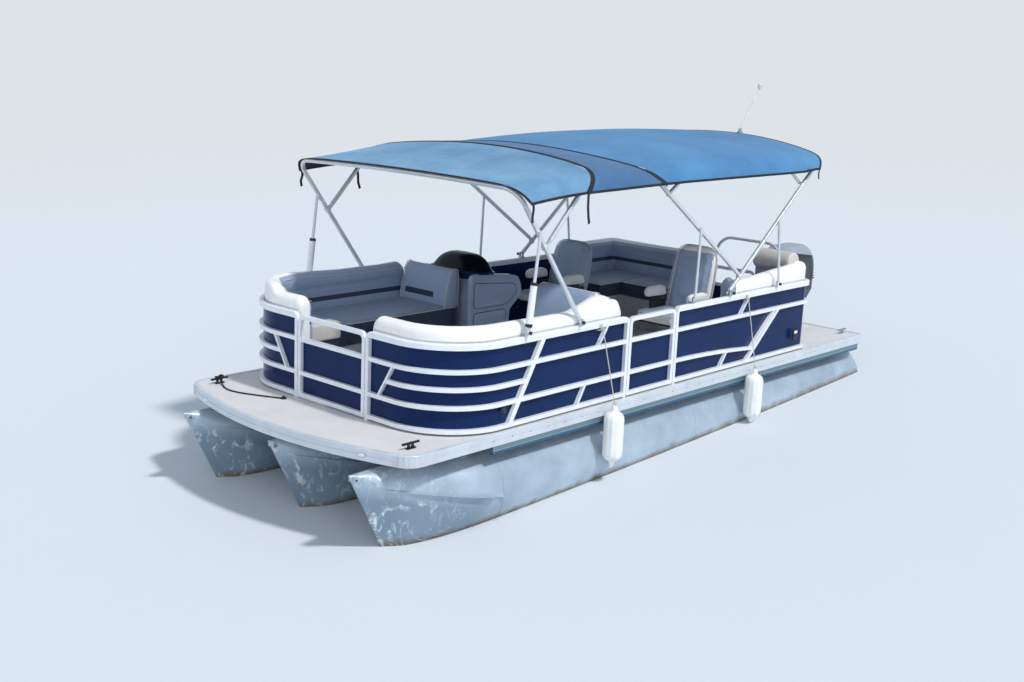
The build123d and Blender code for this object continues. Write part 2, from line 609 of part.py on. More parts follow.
def dash_pod():
    """Hood over the instruments with its low wind deflector."""
    base = Pos(DASH_TOP_X + 88, WHEEL_Y + 20, CONSOLE_TOP_Z + SEAT_GAP) * RectangleRounded(200, 620, 80)
    upper = Pos(DASH_TOP_X + 70, WHEEL_Y + 20, CONSOLE_TOP_Z + POD_DOME_HEIGHT) * RectangleRounded(120, 440, 50)
    return loft([base, upper])


def steering_wheel():
    plane = Plane(origin=WHEEL_FOOT + DASH_NORMAL * WHEEL_STANDOFF, z_dir=DASH_NORMAL)
    wheel = Torus(WHEEL_RADIUS, WHEEL_RIM)
    wheel += Pos(0, 0, -23) * Cylinder(32, 40, align=(Align.CENTER, Align.CENTER, Align.MIN))
    for angle in (90, 210, 330):
        wheel += Rot(0, 0, angle) * Pos(WHEEL_RADIUS / 2 + 6, 0, 0) * Box(WHEEL_RADIUS - 10, 30, 9)
    return plane * wheel


CHAIR_SEAT_Z = 1000
CHAIR_WIDTH = 520
CHAIR_BACK_TOP = 1560
CHAIR_PLACES = {"helm_chair": (-690, -720), "passenger_chair": (-900, 580)}
PEDESTAL_RADIUS = 42
PEDESTAL_TOP_Z = 868


def pedestal():
    foot = Cylinder(165, 14, align=(Align.CENTER, Align.CENTER, Align.MIN))
    foot = fillet(foot.edges().group_by(Axis.Z)[-1], 6)
    column = Cylinder(PEDESTAL_RADIUS, PEDESTAL_TOP_Z - DECK_TOP - SEAT_GAP, align=(Align.CENTER, Align.CENTER, Align.MIN))
    return Pos(0, 0, DECK_TOP + SEAT_GAP) * (foot + column)


def chair_seat():
    """High-backed chair with arm rests and the mounting plate that turns on the pedestal."""
    plate = Pos(0, 0, PEDESTAL_TOP_Z + SEAT_GAP) * Cylinder(150, 16, align=(Align.CENTER, Align.CENTER, Align.MIN))
    cushion = block(-250, 270, -CHAIR_WIDTH / 2, CHAIR_WIDTH / 2, PEDESTAL_TOP_Z + 14, CHAIR_SEAT_Z)
    cushion = fillet(cushion.edges().filter_by(Axis.Z), 70)
    cushion = fillet(cushion.edges().group_by(Axis.Z)[-1], 30)
    back = Pos(-235, 0, CHAIR_SEAT_Z - 60) * Rot(0, -12, 0) * Box(
        120, CHAIR_WIDTH - 30, CHAIR_BACK_TOP - CHAIR_SEAT_Z + 70, align=(Align.CENTER, Align.CENTER, Align.MIN))
    back = fillet(back.edges(), 45)
    chair = plate + cushion + back
    for side in (1, -1):
        arm = block(-220, 120, side * (CHAIR_WIDTH / 2 - 30) - 35, side * (CHAIR_WIDTH / 2 - 30) + 35,
                    CHAIR_SEAT_Z - 40, CHAIR_SEAT_Z + 190)
        chair += fillet(arm.edges().filter_by(Axis.Y), 30)
    return chair


# Folding tops. Each bow lies in a plane that leans by slope: x grows by slope times the rise
# name: foot x, foot z, slope, shoulder z and crown z of the canopy above it
BOWS = {
    "fore_main": (1270, 1290, 0.75, 2345, 2366),
    "fore_second": (1716, 1876, -0.96, 2440, 2525),
    "aft_second": (-966, 1400, 1.48, 2420, 2525),
    "aft_main": (-805, 1290, -1.245, 2450, 2570),
    "aft_stub_fore": (180, 2180, -1.6, 2470, 2590),
    "aft_stub_aft": (-1918, 2183, 1.54, 2480, 2600),
}
# Upright shapes of the cloth half way between two bows, in the same columns
BETWEEN = {
    "connector_middle": (872, 0, 0, 2430, 2528),
    "aft_middle_fore": (142, 0, 0, 2446, 2562),
    "aft_middle": (-870, 0, 0, 2476, 2598),
    "aft_middle_rear": (-1872, 0, 0, 2466, 2588),
}
FORMS = BOWS | BETWEEN
TUBE_CORNER = 6
# Room under the canvas over each bow, where it lies steeper over the bow than the bow's own arch
CANVAS_GAPS = {"fore_main": 1, "fore_second": 5, "aft_second": 1.7, "aft_main": 5,
               "aft_stub_fore": 5, "aft_stub_aft": 5}
CANVAS_SEAM = 0.8
# Where the straight runs of a bow's crown touch its arch, from the centre outwards
CROWN_TOUCH_Y = (0, 520, 980)


def bow_point(name, y, z):
    foot_x, foot_z, slope = FORMS[name][:3]
    return Vector(foot_x + (z - foot_z) * slope, y, z)


def crown_fall(name):
    """How steeply the arch of the canvas falls from its crown: z drops by this times y squared."""
    shoulder_z, crown_z = FORMS[name][3:]
    return (crown_z - shoulder_z) / (CANOPY_HALF - CANOPY_CORNER) ** 2


def bow_tube(name, low_z, tube=TOP_TUBE, leg_y=TOP_LEG_Y):
    """Bent square tube from its two feet over the crown, close under the canvas in its leaning plane."""
    lean = math.atan(abs(BOWS[name][2]))
    reach = (tube / 2 - TUBE_CORNER) * (math.cos(lean) + math.sin(lean)) + TUBE_CORNER
    crown = BOWS[name][4] - CANOPY_THICKNESS - CANVAS_GAPS[name] - reach
    fall = crown_fall(name)
    inner, middle, outer = CROWN_TOUCH_Y
    corner_z = crown + fall * outer * (outer - 2 * leg_y)
    half = [(leg_y, low_z), (leg_y, corner_z), ((middle + outer) / 2, crown - fall * middle * outer),
            ((inner + middle) / 2, crown - fall * inner * middle)]
    points = [bow_point(name, -y, z) for y, z in half] + [bow_point(name, y, z) for y, z in half[::-1]]
    path = rounded_path(points, [CANOPY_CORNER] + [None] * 4 + [CANOPY_CORNER])
    start = Plane(origin=path @ 0, z_dir=path % 0, x_dir=(0, 1, 0))
    return sweep(start * RectangleRounded(tube, tube, TUBE_CORNER), path=path)


MOUNT_Z = TOP_RAIL_Z + TOP_RAIL_HEIGHT + SEAT_GAP
BRACE_FOOT_Z = 1290
# Braces and struts, port side: foot x, bow that the eye sits on, z of the eye, outer radius at the foot
BRACES = {
    "fore_brace": (1893, "fore_main", 2003, BRACE_SLEEVE_RADIUS),
    "aft_brace": (-1580, "aft_main", 1850, BRACE_RADIUS),
    "fore_strut": (-228, "aft_second", 1884, BRACE_RADIUS),
}
FORE_BRACE_SLEEVE_Z = 1640


def bow_pivot(name, main, side):
    """Pin of a second bow: the place on its own line that is JAW_OFFSET from the main bow's line."""
    foot_x, foot_z, slope = BOWS[name][:3]
    main_x, main_z, main_slope = BOWS[main][:3]
    start = (main_x - main_slope * main_z) - (foot_x - slope * foot_z)
    z = (start + side * JAW_OFFSET * math.hypot(1, main_slope)) / (slope - main_slope)
    return bow_point(name, 0, z)


# Pins of the two second bows: the fore one stands behind its main bow, the aft one ahead of it
SECOND_PIVOTS = {"fore_second": bow_pivot("fore_second", "fore_main", -1),
                 "aft_second": bow_pivot("aft_second", "aft_main", 1)}


def leaning_box(start, direction, length, height, width):
    """Bar of a rectangular section that starts at a point and runs along a direction."""
    plane = Plane(origin=start, x_dir=(0, 1, 0), z_dir=direction)
    return plane * Box(width, height, length, align=(Align.CENTER, Align.CENTER, Align.MIN))


def cross_pin(center, y0, y1, radius):
    return rod((center.X, y0, center.Z), (center.X, y1, center.Z), radius)


def jaw(second, main, leg_y):
    """Sleeve on a main bow's leg with two ears and the pin that carries a second bow."""
    pin = SECOND_PIVOTS[second]
    along = Vector(BOWS[main][2], 0, 1).normalized()
    foot = bow_point(main, 0, BOWS[main][1])
    base = foot + along * (pin - foot).dot(along)
    out = (pin - base).normalized()
    low = Vector(base.X, leg_y, base.Z) - along * (JAW_SLEEVE_LENGTH / 2)
    body = leaning_box(low, along, JAW_SLEEVE_LENGTH, JAW_SLEEVE, JAW_SLEEVE)
    for side in (1, -1):
        ear_y = leg_y + side * (JAW_EAR_GAP + JAW_EAR / 2)
        start = Vector(base.X, ear_y, base.Z) + out * (JAW_SLEEVE / 2 - 2)
        body += leaning_box(start, out, JAW_OFFSET - JAW_SLEEVE / 2 + 2, 26, JAW_EAR)
        body += cross_pin(pin, ear_y - JAW_EAR / 2, ear_y + JAW_EAR / 2, 13)
    return body + cross_pin(pin, leg_y - JAW_EAR_GAP - 1, leg_y + JAW_EAR_GAP + 1, JAW_PIN_RADIUS)


def tongue(second, leg_y):
    """Flat end of a second bow that turns on the jaw's pin."""
    pin = SECOND_PIVOTS[second]
    along = Vector(BOWS[second][2], 0, 1).normalized()
    width = 2 * (JAW_EAR_GAP - TONGUE_CLEARANCE)
    end = leaning_box(Vector(pin.X, leg_y, pin.Z), along, TONGUE_REACH + 8, 24, width)
    end += cross_pin(pin, leg_y - width / 2, leg_y + width / 2, 12)
    return end - cross_pin(pin, leg_y - width, leg_y + width, JAW_PIN_RADIUS + TONGUE_CLEARANCE)


def main_bow(name, second):
    """Main bow with the jaws of its second bow on both legs."""
    bow = bow_tube(name, BOWS[name][1])
    return bow + jaw(second, name, TOP_LEG_Y) + jaw(second, name, -TOP_LEG_Y)


def second_bow(name):
    """Second bow whose tube starts clear of its pins."""
    rise = TONGUE_REACH / math.hypot(1, BOWS[name][2])
    bow = bow_tube(name, SECOND_PIVOTS[name].Z + rise)
    return bow + tongue(name, TOP_LEG_Y) + tongue(name, -TOP_LEG_Y)


def stub_bow(name):
    """Short bow that turns on bosses on the inner faces of the bow that carries it."""
    foot = bow_point(name, 0, BOWS[name][1])
    bow = bow_tube(name, BOWS[name][1], STUB_TUBE, STUB_LEG_Y)
    reach = TOP_LEG_Y - TOP_TUBE / 2 - SEAT_GAP
    for side in (1, -1):
        bow += cross_pin(foot, side * (STUB_LEG_Y - STUB_BOSS_RADIUS / 2), side * reach, STUB_BOSS_RADIUS)
    return bow


def brace(foot_x, top, sleeve_z=None):
    """Port brace from its lug on the top rail to an eye on the outer face of a bow."""
    foot = (foot_x, BRACE_Y, BRACE_FOOT_Z)
    head = (top.X, BRACE_Y, top.Z)
    bar = rod(foot, head, BRACE_RADIUS)
    if sleeve_z:
        share = (sleeve_z - BRACE_FOOT_Z) / (top.Z - BRACE_FOOT_Z)
        bar += rod(foot, (foot_x + (top.X - foot_x) * share, BRACE_Y, sleeve_z), BRACE_SLEEVE_RADIUS)
    return bar + cross_pin(top, TOP_LEG_Y + TOP_TUBE / 2 + SEAT_GAP, BRACE_Y, BRACE_EYE_RADIUS)


def canopy_section(name, bottom_z, shift=0.0, inset=0.0):
    """Closed arch over one bow: chord, starboard-to-port side, corner, crown, corner and side again."""
    half, top, peak = CANOPY_HALF - inset, FORMS[name][3] - inset, FORMS[name][4] - inset
    radius = CANOPY_CORNER - inset
    bend = radius * (1 - math.sqrt(0.5))
    low = bottom_z - 3 * inset

    def at(y, z):
        return bow_point(name, y, z) + Vector(shift, 0, 0)

    return Wire([
        Line(at(-half, low), at(half, low)),
        Line(at(half, low), at(half, top - radius)),
        ThreePointArc(at(half, top - radius), at(half - bend, top - bend), at(half - radius, top)),
        ThreePointArc(at(half - radius, top), at(0, peak), at(radius - half, top)),
        ThreePointArc(at(radius - half, top), at(bend - half, top - bend), at(-half, top - radius)),
        Line(at(-half, top - radius), at(-half, low)),
    ])


def canopy(sections):
    """Cloth lofted over its bows; rows are bow name, z of the lower edge and a shift along x."""
    outer = Solid.make_loft([canopy_section(*row) for row in sections])
    return outer - Solid.make_loft([canopy_section(*row, inset=CANOPY_THICKNESS) for row in sections])


def rail_fork(x, y):
    """Fork on the top rail for a main bow's foot."""
    plate = block(x - 32, x + 32, y - 20, y + 20, MOUNT_Z, MOUNT_Z + 8)
    inner = block(x - 14, x + 14, y - 20, y - TOP_TUBE / 2 - SEAT_GAP, MOUNT_Z, MOUNT_Z + 52)
    return plate + inner + block(x - 14, x + 14, y + TOP_TUBE / 2 + SEAT_GAP, y + 20, MOUNT_Z, MOUNT_Z + 52)


def rail_lug(x, radius):
    """Port lug on the top rail whose outer face carries the foot of a brace."""
    face = BRACE_Y - radius - SEAT_GAP
    plate = block(x - 26, x + 26, face - 34, face, MOUNT_Z, MOUNT_Z + 7)
    return plate + block(x - 14, x + 14, face - 8, face, MOUNT_Z, BRACE_FOOT_Z + 12)


# Outboard
TRANSOM_X = POD_STERN_X - TRANSOM_THICKNESS
TILT_X = TRANSOM_X - 70
TILT_Z = 500
STEER_X = TRANSOM_X - 165
CHEEK_Y = 104
CHEEK_WALL = 16
SWIVEL_RADIUS = 46
KING_PIN_RADIUS = 20
PIN_CLEARANCE = 0.4
SWIVEL_LOW_Z = 150
SWIVEL_TOP_Z = 520
LEG_X = STEER_X - 175
COWL_LOW_Z = 640
COWL_TOP_Z = 1285
COWL_FRONT_X = STEER_X + 50
COWL_REAR_X = -4262
PLATE_Z = -190
GEARCASE_Z = -385
GEARCASE_RADIUS = 56
HUB_CENTER_X = LEG_X - 215
HUB_LENGTH = 104
PROP_RADIUS = 178
HUB_RADIUS = 48

# Light mast: how far its foot stands over the canvas that slopes under it
MAST_Y = 200
MAST_SEAT = 1.9

# Fenders and cords
FENDER_RADIUS = 82
FENDER_LENGTH = 500
FENDER_Y = BEAM / 2 + FENDER_RADIUS + SEAT_GAP
FENDERS = {"fender_forward": (950, 585), "fender_aft": (-1110, 560)}
ROPE_RADIUS = 4
MOORING_RADIUS = 6
CLEAT_Y = BEAM / 2 - 175
CLEAT_PLACES = ((2905, CLEAT_Y), (2905, -CLEAT_Y), (-3180, CLEAT_Y), (-3180, -CLEAT_Y))


def clamp_bracket():
    """Two cheeks hooked over the transom, with the tilt tube between them."""
    aft, fore, top = TRANSOM_X - SEAT_GAP, POD_STERN_X + SEAT_GAP, TRANSOM_TOP_Z + SEAT_GAP
    outline = Polyline((aft, TRANSOM_BOTTOM_Z + 170), (aft, top), (fore, top), (fore, TRANSOM_TOP_Z - 110),
                       (POD_STERN_X + 22, TRANSOM_TOP_Z - 110), (POD_STERN_X + 22, TRANSOM_TOP_Z + 24),
                       (TILT_X + 20, TILT_Z + 34), (TILT_X - 34, TILT_Z + 20), (TILT_X - 34, TILT_Z - 30),
                       (TRANSOM_X - 50, TRANSOM_BOTTOM_Z + 170), close=True)
    side = Plane(origin=(0, CHEEK_Y + CHEEK_WALL, 0), x_dir=(1, 0, 0), z_dir=(0, -1, 0))
    cheek = extrude(side * make_face(outline), CHEEK_WALL)
    tube = rod((TILT_X, -CHEEK_Y - 1, TILT_Z), (TILT_X, CHEEK_Y + 1, TILT_Z), 16)
    return cheek + mirrored(cheek) + tube


def swivel_bracket():
    """Bracket that tilts on the tilt tube and carries the king pin's bore."""
    arm = block(STEER_X, TILT_X + 30, -CHEEK_Y + 2, CHEEK_Y - 2, TILT_Z - 34, TILT_Z + 20)
    barrel = Pos(STEER_X, 0, SWIVEL_LOW_Z) * Cylinder(
        SWIVEL_RADIUS, SWIVEL_TOP_Z - SWIVEL_LOW_Z, align=(Align.CENTER, Align.CENTER, Align.MIN))
    web = block(STEER_X, TRANSOM_X - 8, -30, 30, SWIVEL_LOW_Z + 40, TILT_Z - 30)
    body = arm + barrel + web
    body -= rod((TILT_X, -CHEEK_Y - 10, TILT_Z), (TILT_X, CHEEK_Y + 10, TILT_Z), 16 + PIN_CLEARANCE)
    return body - Pos(STEER_X, 0, SWIVEL_LOW_Z - 5) * Cylinder(
        KING_PIN_RADIUS + PIN_CLEARANCE, SWIVEL_TOP_Z - SWIVEL_LOW_Z + 10, align=(Align.CENTER, Align.CENTER, Align.MIN))


def level(x0, x1, width, radius, z):
    """Rounded outline of the cowling or leg at one height."""
    return Pos((x0 + x1) / 2, 0, z) * RectangleRounded(x1 - x0, width, radius)


def outboard_motor():
    """Cowling, leg with its plate, gearcase and skeg, and the yokes on the king pin."""
    lower = loft([level(COWL_REAR_X + 90, COWL_FRONT_X - 30, 300, 90, COWL_LOW_Z),
                  level(COWL_REAR_X + 10, COWL_FRONT_X, 380, 110, COWL_LOW_Z + 150)], ruled=True)
    upper = loft([level(COWL_REAR_X + 10, COWL_FRONT_X, 380, 110, COWL_LOW_Z + 150),
                  level(COWL_REAR_X, COWL_FRONT_X + 10, 386, 130, COWL_LOW_Z + 400),
                  level(COWL_REAR_X + 60, COWL_FRONT_X - 30, 330, 120, COWL_TOP_Z - 70),
                  level(COWL_REAR_X + 150, COWL_FRONT_X - 100, 220, 90, COWL_TOP_Z)])
    leg = loft([level(LEG_X - 170, STEER_X - SWIVEL_RADIUS - 10, 210, 60, COWL_LOW_Z + 5),
                level(LEG_X - 110, STEER_X - SWIVEL_RADIUS - 10, 120, 50, 300),
                level(LEG_X - 120, STEER_X - SWIVEL_RADIUS - 14, 74, 30, PLATE_Z)], ruled=True)
    plate = Pos(LEG_X - 90, 0, PLATE_Z) * extrude(RectangleRounded(400, 210, 90), 10)
    strut = loft([level(LEG_X - 120, STEER_X - SWIVEL_RADIUS - 30, 60, 25, PLATE_Z + 2),
                  level(LEG_X - 120, STEER_X - SWIVEL_RADIUS - 60, 40, 18, GEARCASE_Z)], ruled=True)
    nose_x, rear_x = LEG_X + 150, HUB_CENTER_X + HUB_LENGTH / 2 + SEAT_GAP
    case = Rot(0, 90, 0) * Cylinder(GEARCASE_RADIUS, nose_x - rear_x)
    case = fillet(case.edges().group_by(Axis.X)[-1], 50)
    case = Pos((nose_x + rear_x) / 2, 0, GEARCASE_Z) * fillet(case.edges().group_by(Axis.X)[0], 7)
    skeg = Polyline((LEG_X + 60, GEARCASE_Z - 40), (LEG_X - 110, GEARCASE_Z - 40), (LEG_X - 130, GEARCASE_Z - 215),
                    (LEG_X - 70, GEARCASE_Z - 215), close=True)
    skeg = extrude(Plane(origin=(0, 6, 0), x_dir=(1, 0, 0), z_dir=(0, -1, 0)) * make_face(skeg), 12)
    motor = lower + upper + leg + plate + strut + case + skeg
    motor += Pos(STEER_X, 0, SWIVEL_LOW_Z - 40) * Cylinder(
        KING_PIN_RADIUS, SWIVEL_TOP_Z - SWIVEL_LOW_Z + 80, align=(Align.CENTER, Align.CENTER, Align.MIN))
    for low, high in ((SWIVEL_LOW_Z - 44, SWIVEL_LOW_Z - 2), (SWIVEL_TOP_Z + 2, SWIVEL_TOP_Z + 42)):
        motor += block(LEG_X + 10, STEER_X + 30, -50, 50, low, high)
    return motor


def propeller():
    """Three twisted blades on a hub behind the gearcase."""
    hub = Rot(0, 90, 0) * Cylinder(HUB_RADIUS, HUB_LENGTH)
    hub = fillet(hub.edges().group_by(Axis.X)[0], 12)
    wheel = hub
    # radius, chord, thickness, pitch angle
    stations = ((HUB_RADIUS - 14, 78, 14, 58), (0.62 * PROP_RADIUS, 128, 8, 40), (PROP_RADIUS, 62, 4, 27))
    rows = [Pos(0, 0, radius) * Rot(0, 0, 90 - pitch) * RectangleRounded(chord, thick, thick / 2 - 0.2)
            for radius, chord, thick, pitch in stations]
    blade = loft(rows)
    for angle in (0, 120, 240):
        wheel += Rot(angle, 0, 0) * blade
    return Pos(HUB_CENTER_X, 0, GEARCASE_Z) * wheel


TOW_BAR_X = -3070
TOW_BAR_HALF = 400
TOW_BAR_TOP_Z = 1400


def tow_bar():
    """Arched rail over the stern deck with a brace forward."""
    x, half, top, foot = TOW_BAR_X, TOW_BAR_HALF, TOW_BAR_TOP_Z, DECK_TOP + SEAT_GAP
    path = FilletPolyline((x, -half, foot), (x, -half, top), (x, half, top), (x, half, foot), radius=190)
    bar = sweep(Plane(origin=path @ 0, z_dir=path % 0) * Circle(16), path=path)
    for side in (1, -1):
        bar += rod((x, side * half, top - 420), (x + 330, side * half, foot + 9), 13)
        bar += Pos(x, side * half, foot) * Cylinder(40, 8, align=(Align.CENTER, Align.CENTER, Align.MIN))
        bar += Pos(x + 330, side * half, foot) * Cylinder(34, 8, align=(Align.CENTER, Align.CENTER, Align.MIN))
    bar -= block(x - 100, x + 500, -half - 100, half + 100, foot - 60, foot)
    return bar


def deck_cleats():
    cleats = []
    for x, y in CLEAT_PLACES:
        z = DECK_TOP + SEAT_GAP
        base = block(x - 40, x + 40, y - 14, y + 14, z, z + 8)
        legs = block(x - 26, x - 12, y - 8, y + 8, z, z + 36) + block(x + 12, x + 26, y - 8, y + 8, z, z + 36)
        cleats.append(base + legs + rod((x - 78, y, z + 40), (x + 78, y, z + 40), 9))
    return cleats


def light_mast_parts():
    """Folding light mast: its base on the after bow's crown and the pole with its lamp."""
    crown_z = BOWS["aft_main"][4] - crown_fall("aft_main") * MAST_Y ** 2
    foot = bow_point("aft_main", MAST_Y, crown_z + MAST_SEAT)
    hinge = foot + Vector(0, 0, 34)
    base = Pos(*foot) * Cylinder(30, 12, align=(Align.CENTER, Align.CENTER, Align.MIN))
    for side in (1, -1):
        base += block(foot.X - 10, foot.X + 10, foot.Y + side * 11 - 3, foot.Y + side * 11 + 3, foot.Z + 8, foot.Z + 44)
    tip = hinge + Vector(-300, 0, 400)
    pole = rod(hinge, tip, 7)
    pole += Pos(*hinge) * Rot(90, 0, 0) * Cylinder(9, 15)
    lamp = Pos(*tip) * Cylinder(20, 46, align=(Align.CENTER, Align.CENTER, Align.MIN))
    return base, pole + fillet(lamp.edges().group_by(Axis.Z)[-1], 8)


def fender(x, top_z):
    """Round fender with a tapered top and bottom, hanging upright outside the trim."""
    outline = Polyline((0, 0), (34, 0), (FENDER_RADIUS, 70), (FENDER_RADIUS, FENDER_LENGTH - 70),
                       (34, FENDER_LENGTH), (0, FENDER_LENGTH), close=True)
    body = revolve(Plane.XZ * make_face(outline), Axis.Z)
    return Pos(x, FENDER_Y, top_z - FENDER_LENGTH) * body


def rope(points, radius, side):
    """Rope along a route whose y is measured outwards from one side of the deck."""
    path = rounded_path([Vector(x, side * (BEAM / 2 + y), z) for x, y, z in points])
    return sweep(Plane(origin=path @ 0, z_dir=path % 0) * Circle(radius), path=path)


# Routes of the ropes: from the top rail down to a fender, and the mooring line along the deck
FENDER_ROPES = {
    "fender_rope_forward": [(1020, -49, 1219), (1020, -33, 1217), (1018, -27, 1196), (957, 79, 616),
                            (951, 82, 592), (950, 82, 575)],
    "fender_rope_aft": [(-1075, -49, 1219), (-1075, -33, 1217), (-1076, -27, 1196), (-1107, 79, 590),
                        (-1110, 81, 567), (-1110, 82, 550)],
}
MOORING_LINE = [(2905, -177, 606), (2908, -199, 594), (2922, -235, 579), (2962, -320, 574.4), (2985, -425, 574.4),
                (2958, -545, 574.4), (2905, -665, 574.4), (2852, -775, 574.4), (2805, -865, 574.4)]


if __name__ == "__main__":
    # Hull
    save("tube_port", tube_body(TUBE_Y, NOSE_X, TUBE_STERN_X))
    save("tube_center", tube_body(0, CENTER_NOSE_X, CENTER_TUBE_STERN_X))
    save("tube_starboard", tube_body(-TUBE_Y, NOSE_X, TUBE_STERN_X))
    save("deck_frame", deck_frame())
    save("deck_panel", deck_panel())
    save("deck_edge_trim", edge_trim())
    save("side_skirts", side_skirt(), mirrored(side_skirt()))
    save("motor_pod", motor_pod())
    save("tow_bar", tow_bar())
    save("deck_cleats", *deck_cleats())

    # Fence and gates
    hinges = {name: place * hinge_half(False) for name, (place, opening) in GATE_PLACES.items()}
    save("fence_bow_port", bow_fence(1) + hinges["gate_bow"])
    save("fence_bow_starboard", bow_fence(-1))
    save("fence_quarter_port", quarter_fence() + hinges["gate_side"])
    save("fence_starboard", starboard_fence() + hinges["gate_stern"])
    half, edge = FENCE_HALF_WIDTH, RAIL - 10
    save("fence_sheets",
         sheet(SIDE_GATE_FRONT_X + edge, FENCE_FRONT_X, BOW_GATE_HALF + edge, half),
         sheet(STARBOARD_SPLIT_X + edge, FENCE_FRONT_X, -half, -BOW_GATE_HALF - edge),
         sheet(FENCE_STERN_X, SIDE_GATE_REAR_X - edge, STERN_GATE_PORT_Y + edge, half),
         sheet(FENCE_STERN_X, STARBOARD_SPLIT_X - edge, -half, -edge))
    for name, (place, opening) in GATE_PLACES.items():
        save(name, place * gate(opening))

    # Seats
    couches = {"bow_port": bow_couch(BOW_COUCH_END_X, 1), "bow_starboard": bow_couch(860, -1),
               "stern_starboard": stern_couch(), "stern_port": stern_bench()}
    save("couch_bases", *[base for base, top in couches.values()])
    for name, (base, top) in couches.items():
        save(f"upholstery_{name}", top)

    # Helm and chairs
    save("helm_console", helm_console())
    save("dash_pod", dash_pod())
    save("steering_wheel", steering_wheel())
    save("chair_pedestals", *[Pos(x, y, 0) * pedestal() for x, y in CHAIR_PLACES.values()])
    for name, (x, y) in CHAIR_PLACES.items():
        save(name, Pos(x, y, 0) * chair_seat())

    # Tops
    save("fore_main_bow", main_bow("fore_main", "fore_second"))
    save("fore_second_bow", second_bow("fore_second"))
    save("aft_main_bow", main_bow("aft_main", "aft_second"))
    save("aft_second_bow", second_bow("aft_second"))
    save("aft_stub_fore", stub_bow("aft_stub_fore"))
    save("aft_stub_aft", stub_bow("aft_stub_aft"))
    bars = {name: brace(foot_x, bow_point(bow, 0, z), FORE_BRACE_SLEEVE_Z if name == "fore_brace" else None)
            for name, (foot_x, bow, z, radius) in BRACES.items()}
    save("top_braces", *[shape for name in ("fore_brace", "aft_brace") for shape in (bars[name], mirrored(bars[name]))])
    save("fore_struts", bars["fore_strut"], mirrored(bars["fore_strut"]))
    forks = [rail_fork(x, side * TOP_LEG_Y) for side in (1, -1) for x in (1262, -797)]
    lugs = [rail_lug(row[0], row[3]) for row in BRACES.values()]
    save("top_mounts", *forks, *lugs, *[mirrored(lug) for lug in lugs])
    save("canopy_fore", canopy([("fore_main", 2215, 0), ("fore_second", 2262, 0)]))
    save("canopy_connector", canopy([
        ("fore_second", 2268, -CANVAS_SEAM), ("connector_middle", 2272, 0), ("aft_second", 2285, CANVAS_SEAM)]))
    save("canopy_aft", canopy([
        ("aft_second", 2285, 0), ("aft_middle_fore", 2286, 0), ("aft_stub_fore", 2288, 0), ("aft_middle", 2292, 0),
        ("aft_stub_aft", 2296, 0), ("aft_middle_rear", 2305, 0), ("aft_main", 2315, 0)]))
    base, mast = light_mast_parts()
    save("light_mast_base", base)
    save("light_mast", mast)

    # Deck gear
    for name, (x, z) in FENDERS.items():
        save(name, fender(x, z))
    for name, points in FENDER_ROPES.items():
        save(name, rope(points, ROPE_RADIUS, 1))
    save("mooring_line", rope(MOORING_LINE, MOORING_RADIUS, -1))

    # Outboard
    save("outboard_clamp", clamp_bracket())
    save("outboard_swivel", swivel_bracket())
    save("outboard_motor", outboard_motor())
    save("outboard_propeller", propeller())
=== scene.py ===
"""Pontoon boat with two folding tops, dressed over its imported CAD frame. Lengths are in metres."""

import math

import bmesh
import bpy
import numpy as np
from mathutils import Matrix, Vector
from mathutils.bvhtree import BVHTree


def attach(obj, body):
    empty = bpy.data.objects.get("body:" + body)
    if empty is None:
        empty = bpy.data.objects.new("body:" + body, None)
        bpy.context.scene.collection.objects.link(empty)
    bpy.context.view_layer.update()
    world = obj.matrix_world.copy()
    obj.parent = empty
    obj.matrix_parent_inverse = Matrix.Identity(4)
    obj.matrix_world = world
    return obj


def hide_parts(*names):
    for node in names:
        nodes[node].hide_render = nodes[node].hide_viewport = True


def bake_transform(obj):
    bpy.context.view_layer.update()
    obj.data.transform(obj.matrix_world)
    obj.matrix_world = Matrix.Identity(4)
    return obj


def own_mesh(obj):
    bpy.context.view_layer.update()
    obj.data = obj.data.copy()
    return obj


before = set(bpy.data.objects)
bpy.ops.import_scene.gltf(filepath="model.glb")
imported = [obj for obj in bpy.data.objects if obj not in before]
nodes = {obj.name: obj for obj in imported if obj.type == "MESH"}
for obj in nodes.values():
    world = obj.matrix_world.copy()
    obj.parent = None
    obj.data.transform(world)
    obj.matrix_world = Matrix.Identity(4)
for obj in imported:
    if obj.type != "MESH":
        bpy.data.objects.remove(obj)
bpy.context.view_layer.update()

# Camera, light and floor
# The boat is seen from a little above its top, off the port bow, and rides bow-up by about three degrees.
# The floor is a pale plane through its waterline, tilted by that trim.
camera_place = Vector((8.7334, 7.2491, 3.2661))
heading, dip, camera_lean = -2.40993, -0.22249, 0.043543
ahead = Vector((math.cos(heading) * math.cos(dip), math.sin(heading) * math.cos(dip), math.sin(dip)))
level_right = ahead.cross(Vector((0, 0, 1))).normalized()
level_up = level_right.cross(ahead)
right = level_right * math.cos(camera_lean) + level_up * math.sin(camera_lean)
up = level_up * math.cos(camera_lean) - level_right * math.sin(camera_lean)
camera = bpy.data.objects.new("camera", bpy.data.cameras.new("camera"))
# The focal length was fitted in pixels of an image 1024 wide
focal_pixels, image_width, sensor = 1279.572, 1024, 36
camera.data.sensor_width = sensor
camera.data.lens = focal_pixels / image_width * sensor
camera.data.clip_end = 400
turn = Matrix((right, up, -ahead)).transposed().to_quaternion()
camera.matrix_world = Matrix.LocRotScale(camera_place, turn, None)
bpy.context.scene.collection.objects.link(camera)
bpy.context.scene.camera = camera
bpy.context.scene.view_settings.view_transform = "Standard"


def rgb(code):
    """sRGB hex colour as linear values."""
    parts = [int(code[i:i + 2], 16) / 255 for i in (0, 2, 4)]
    return [c / 12.92 if c <= 0.04045 else ((c + 0.055) / 1.055) ** 2.4 for c in parts] + [1]


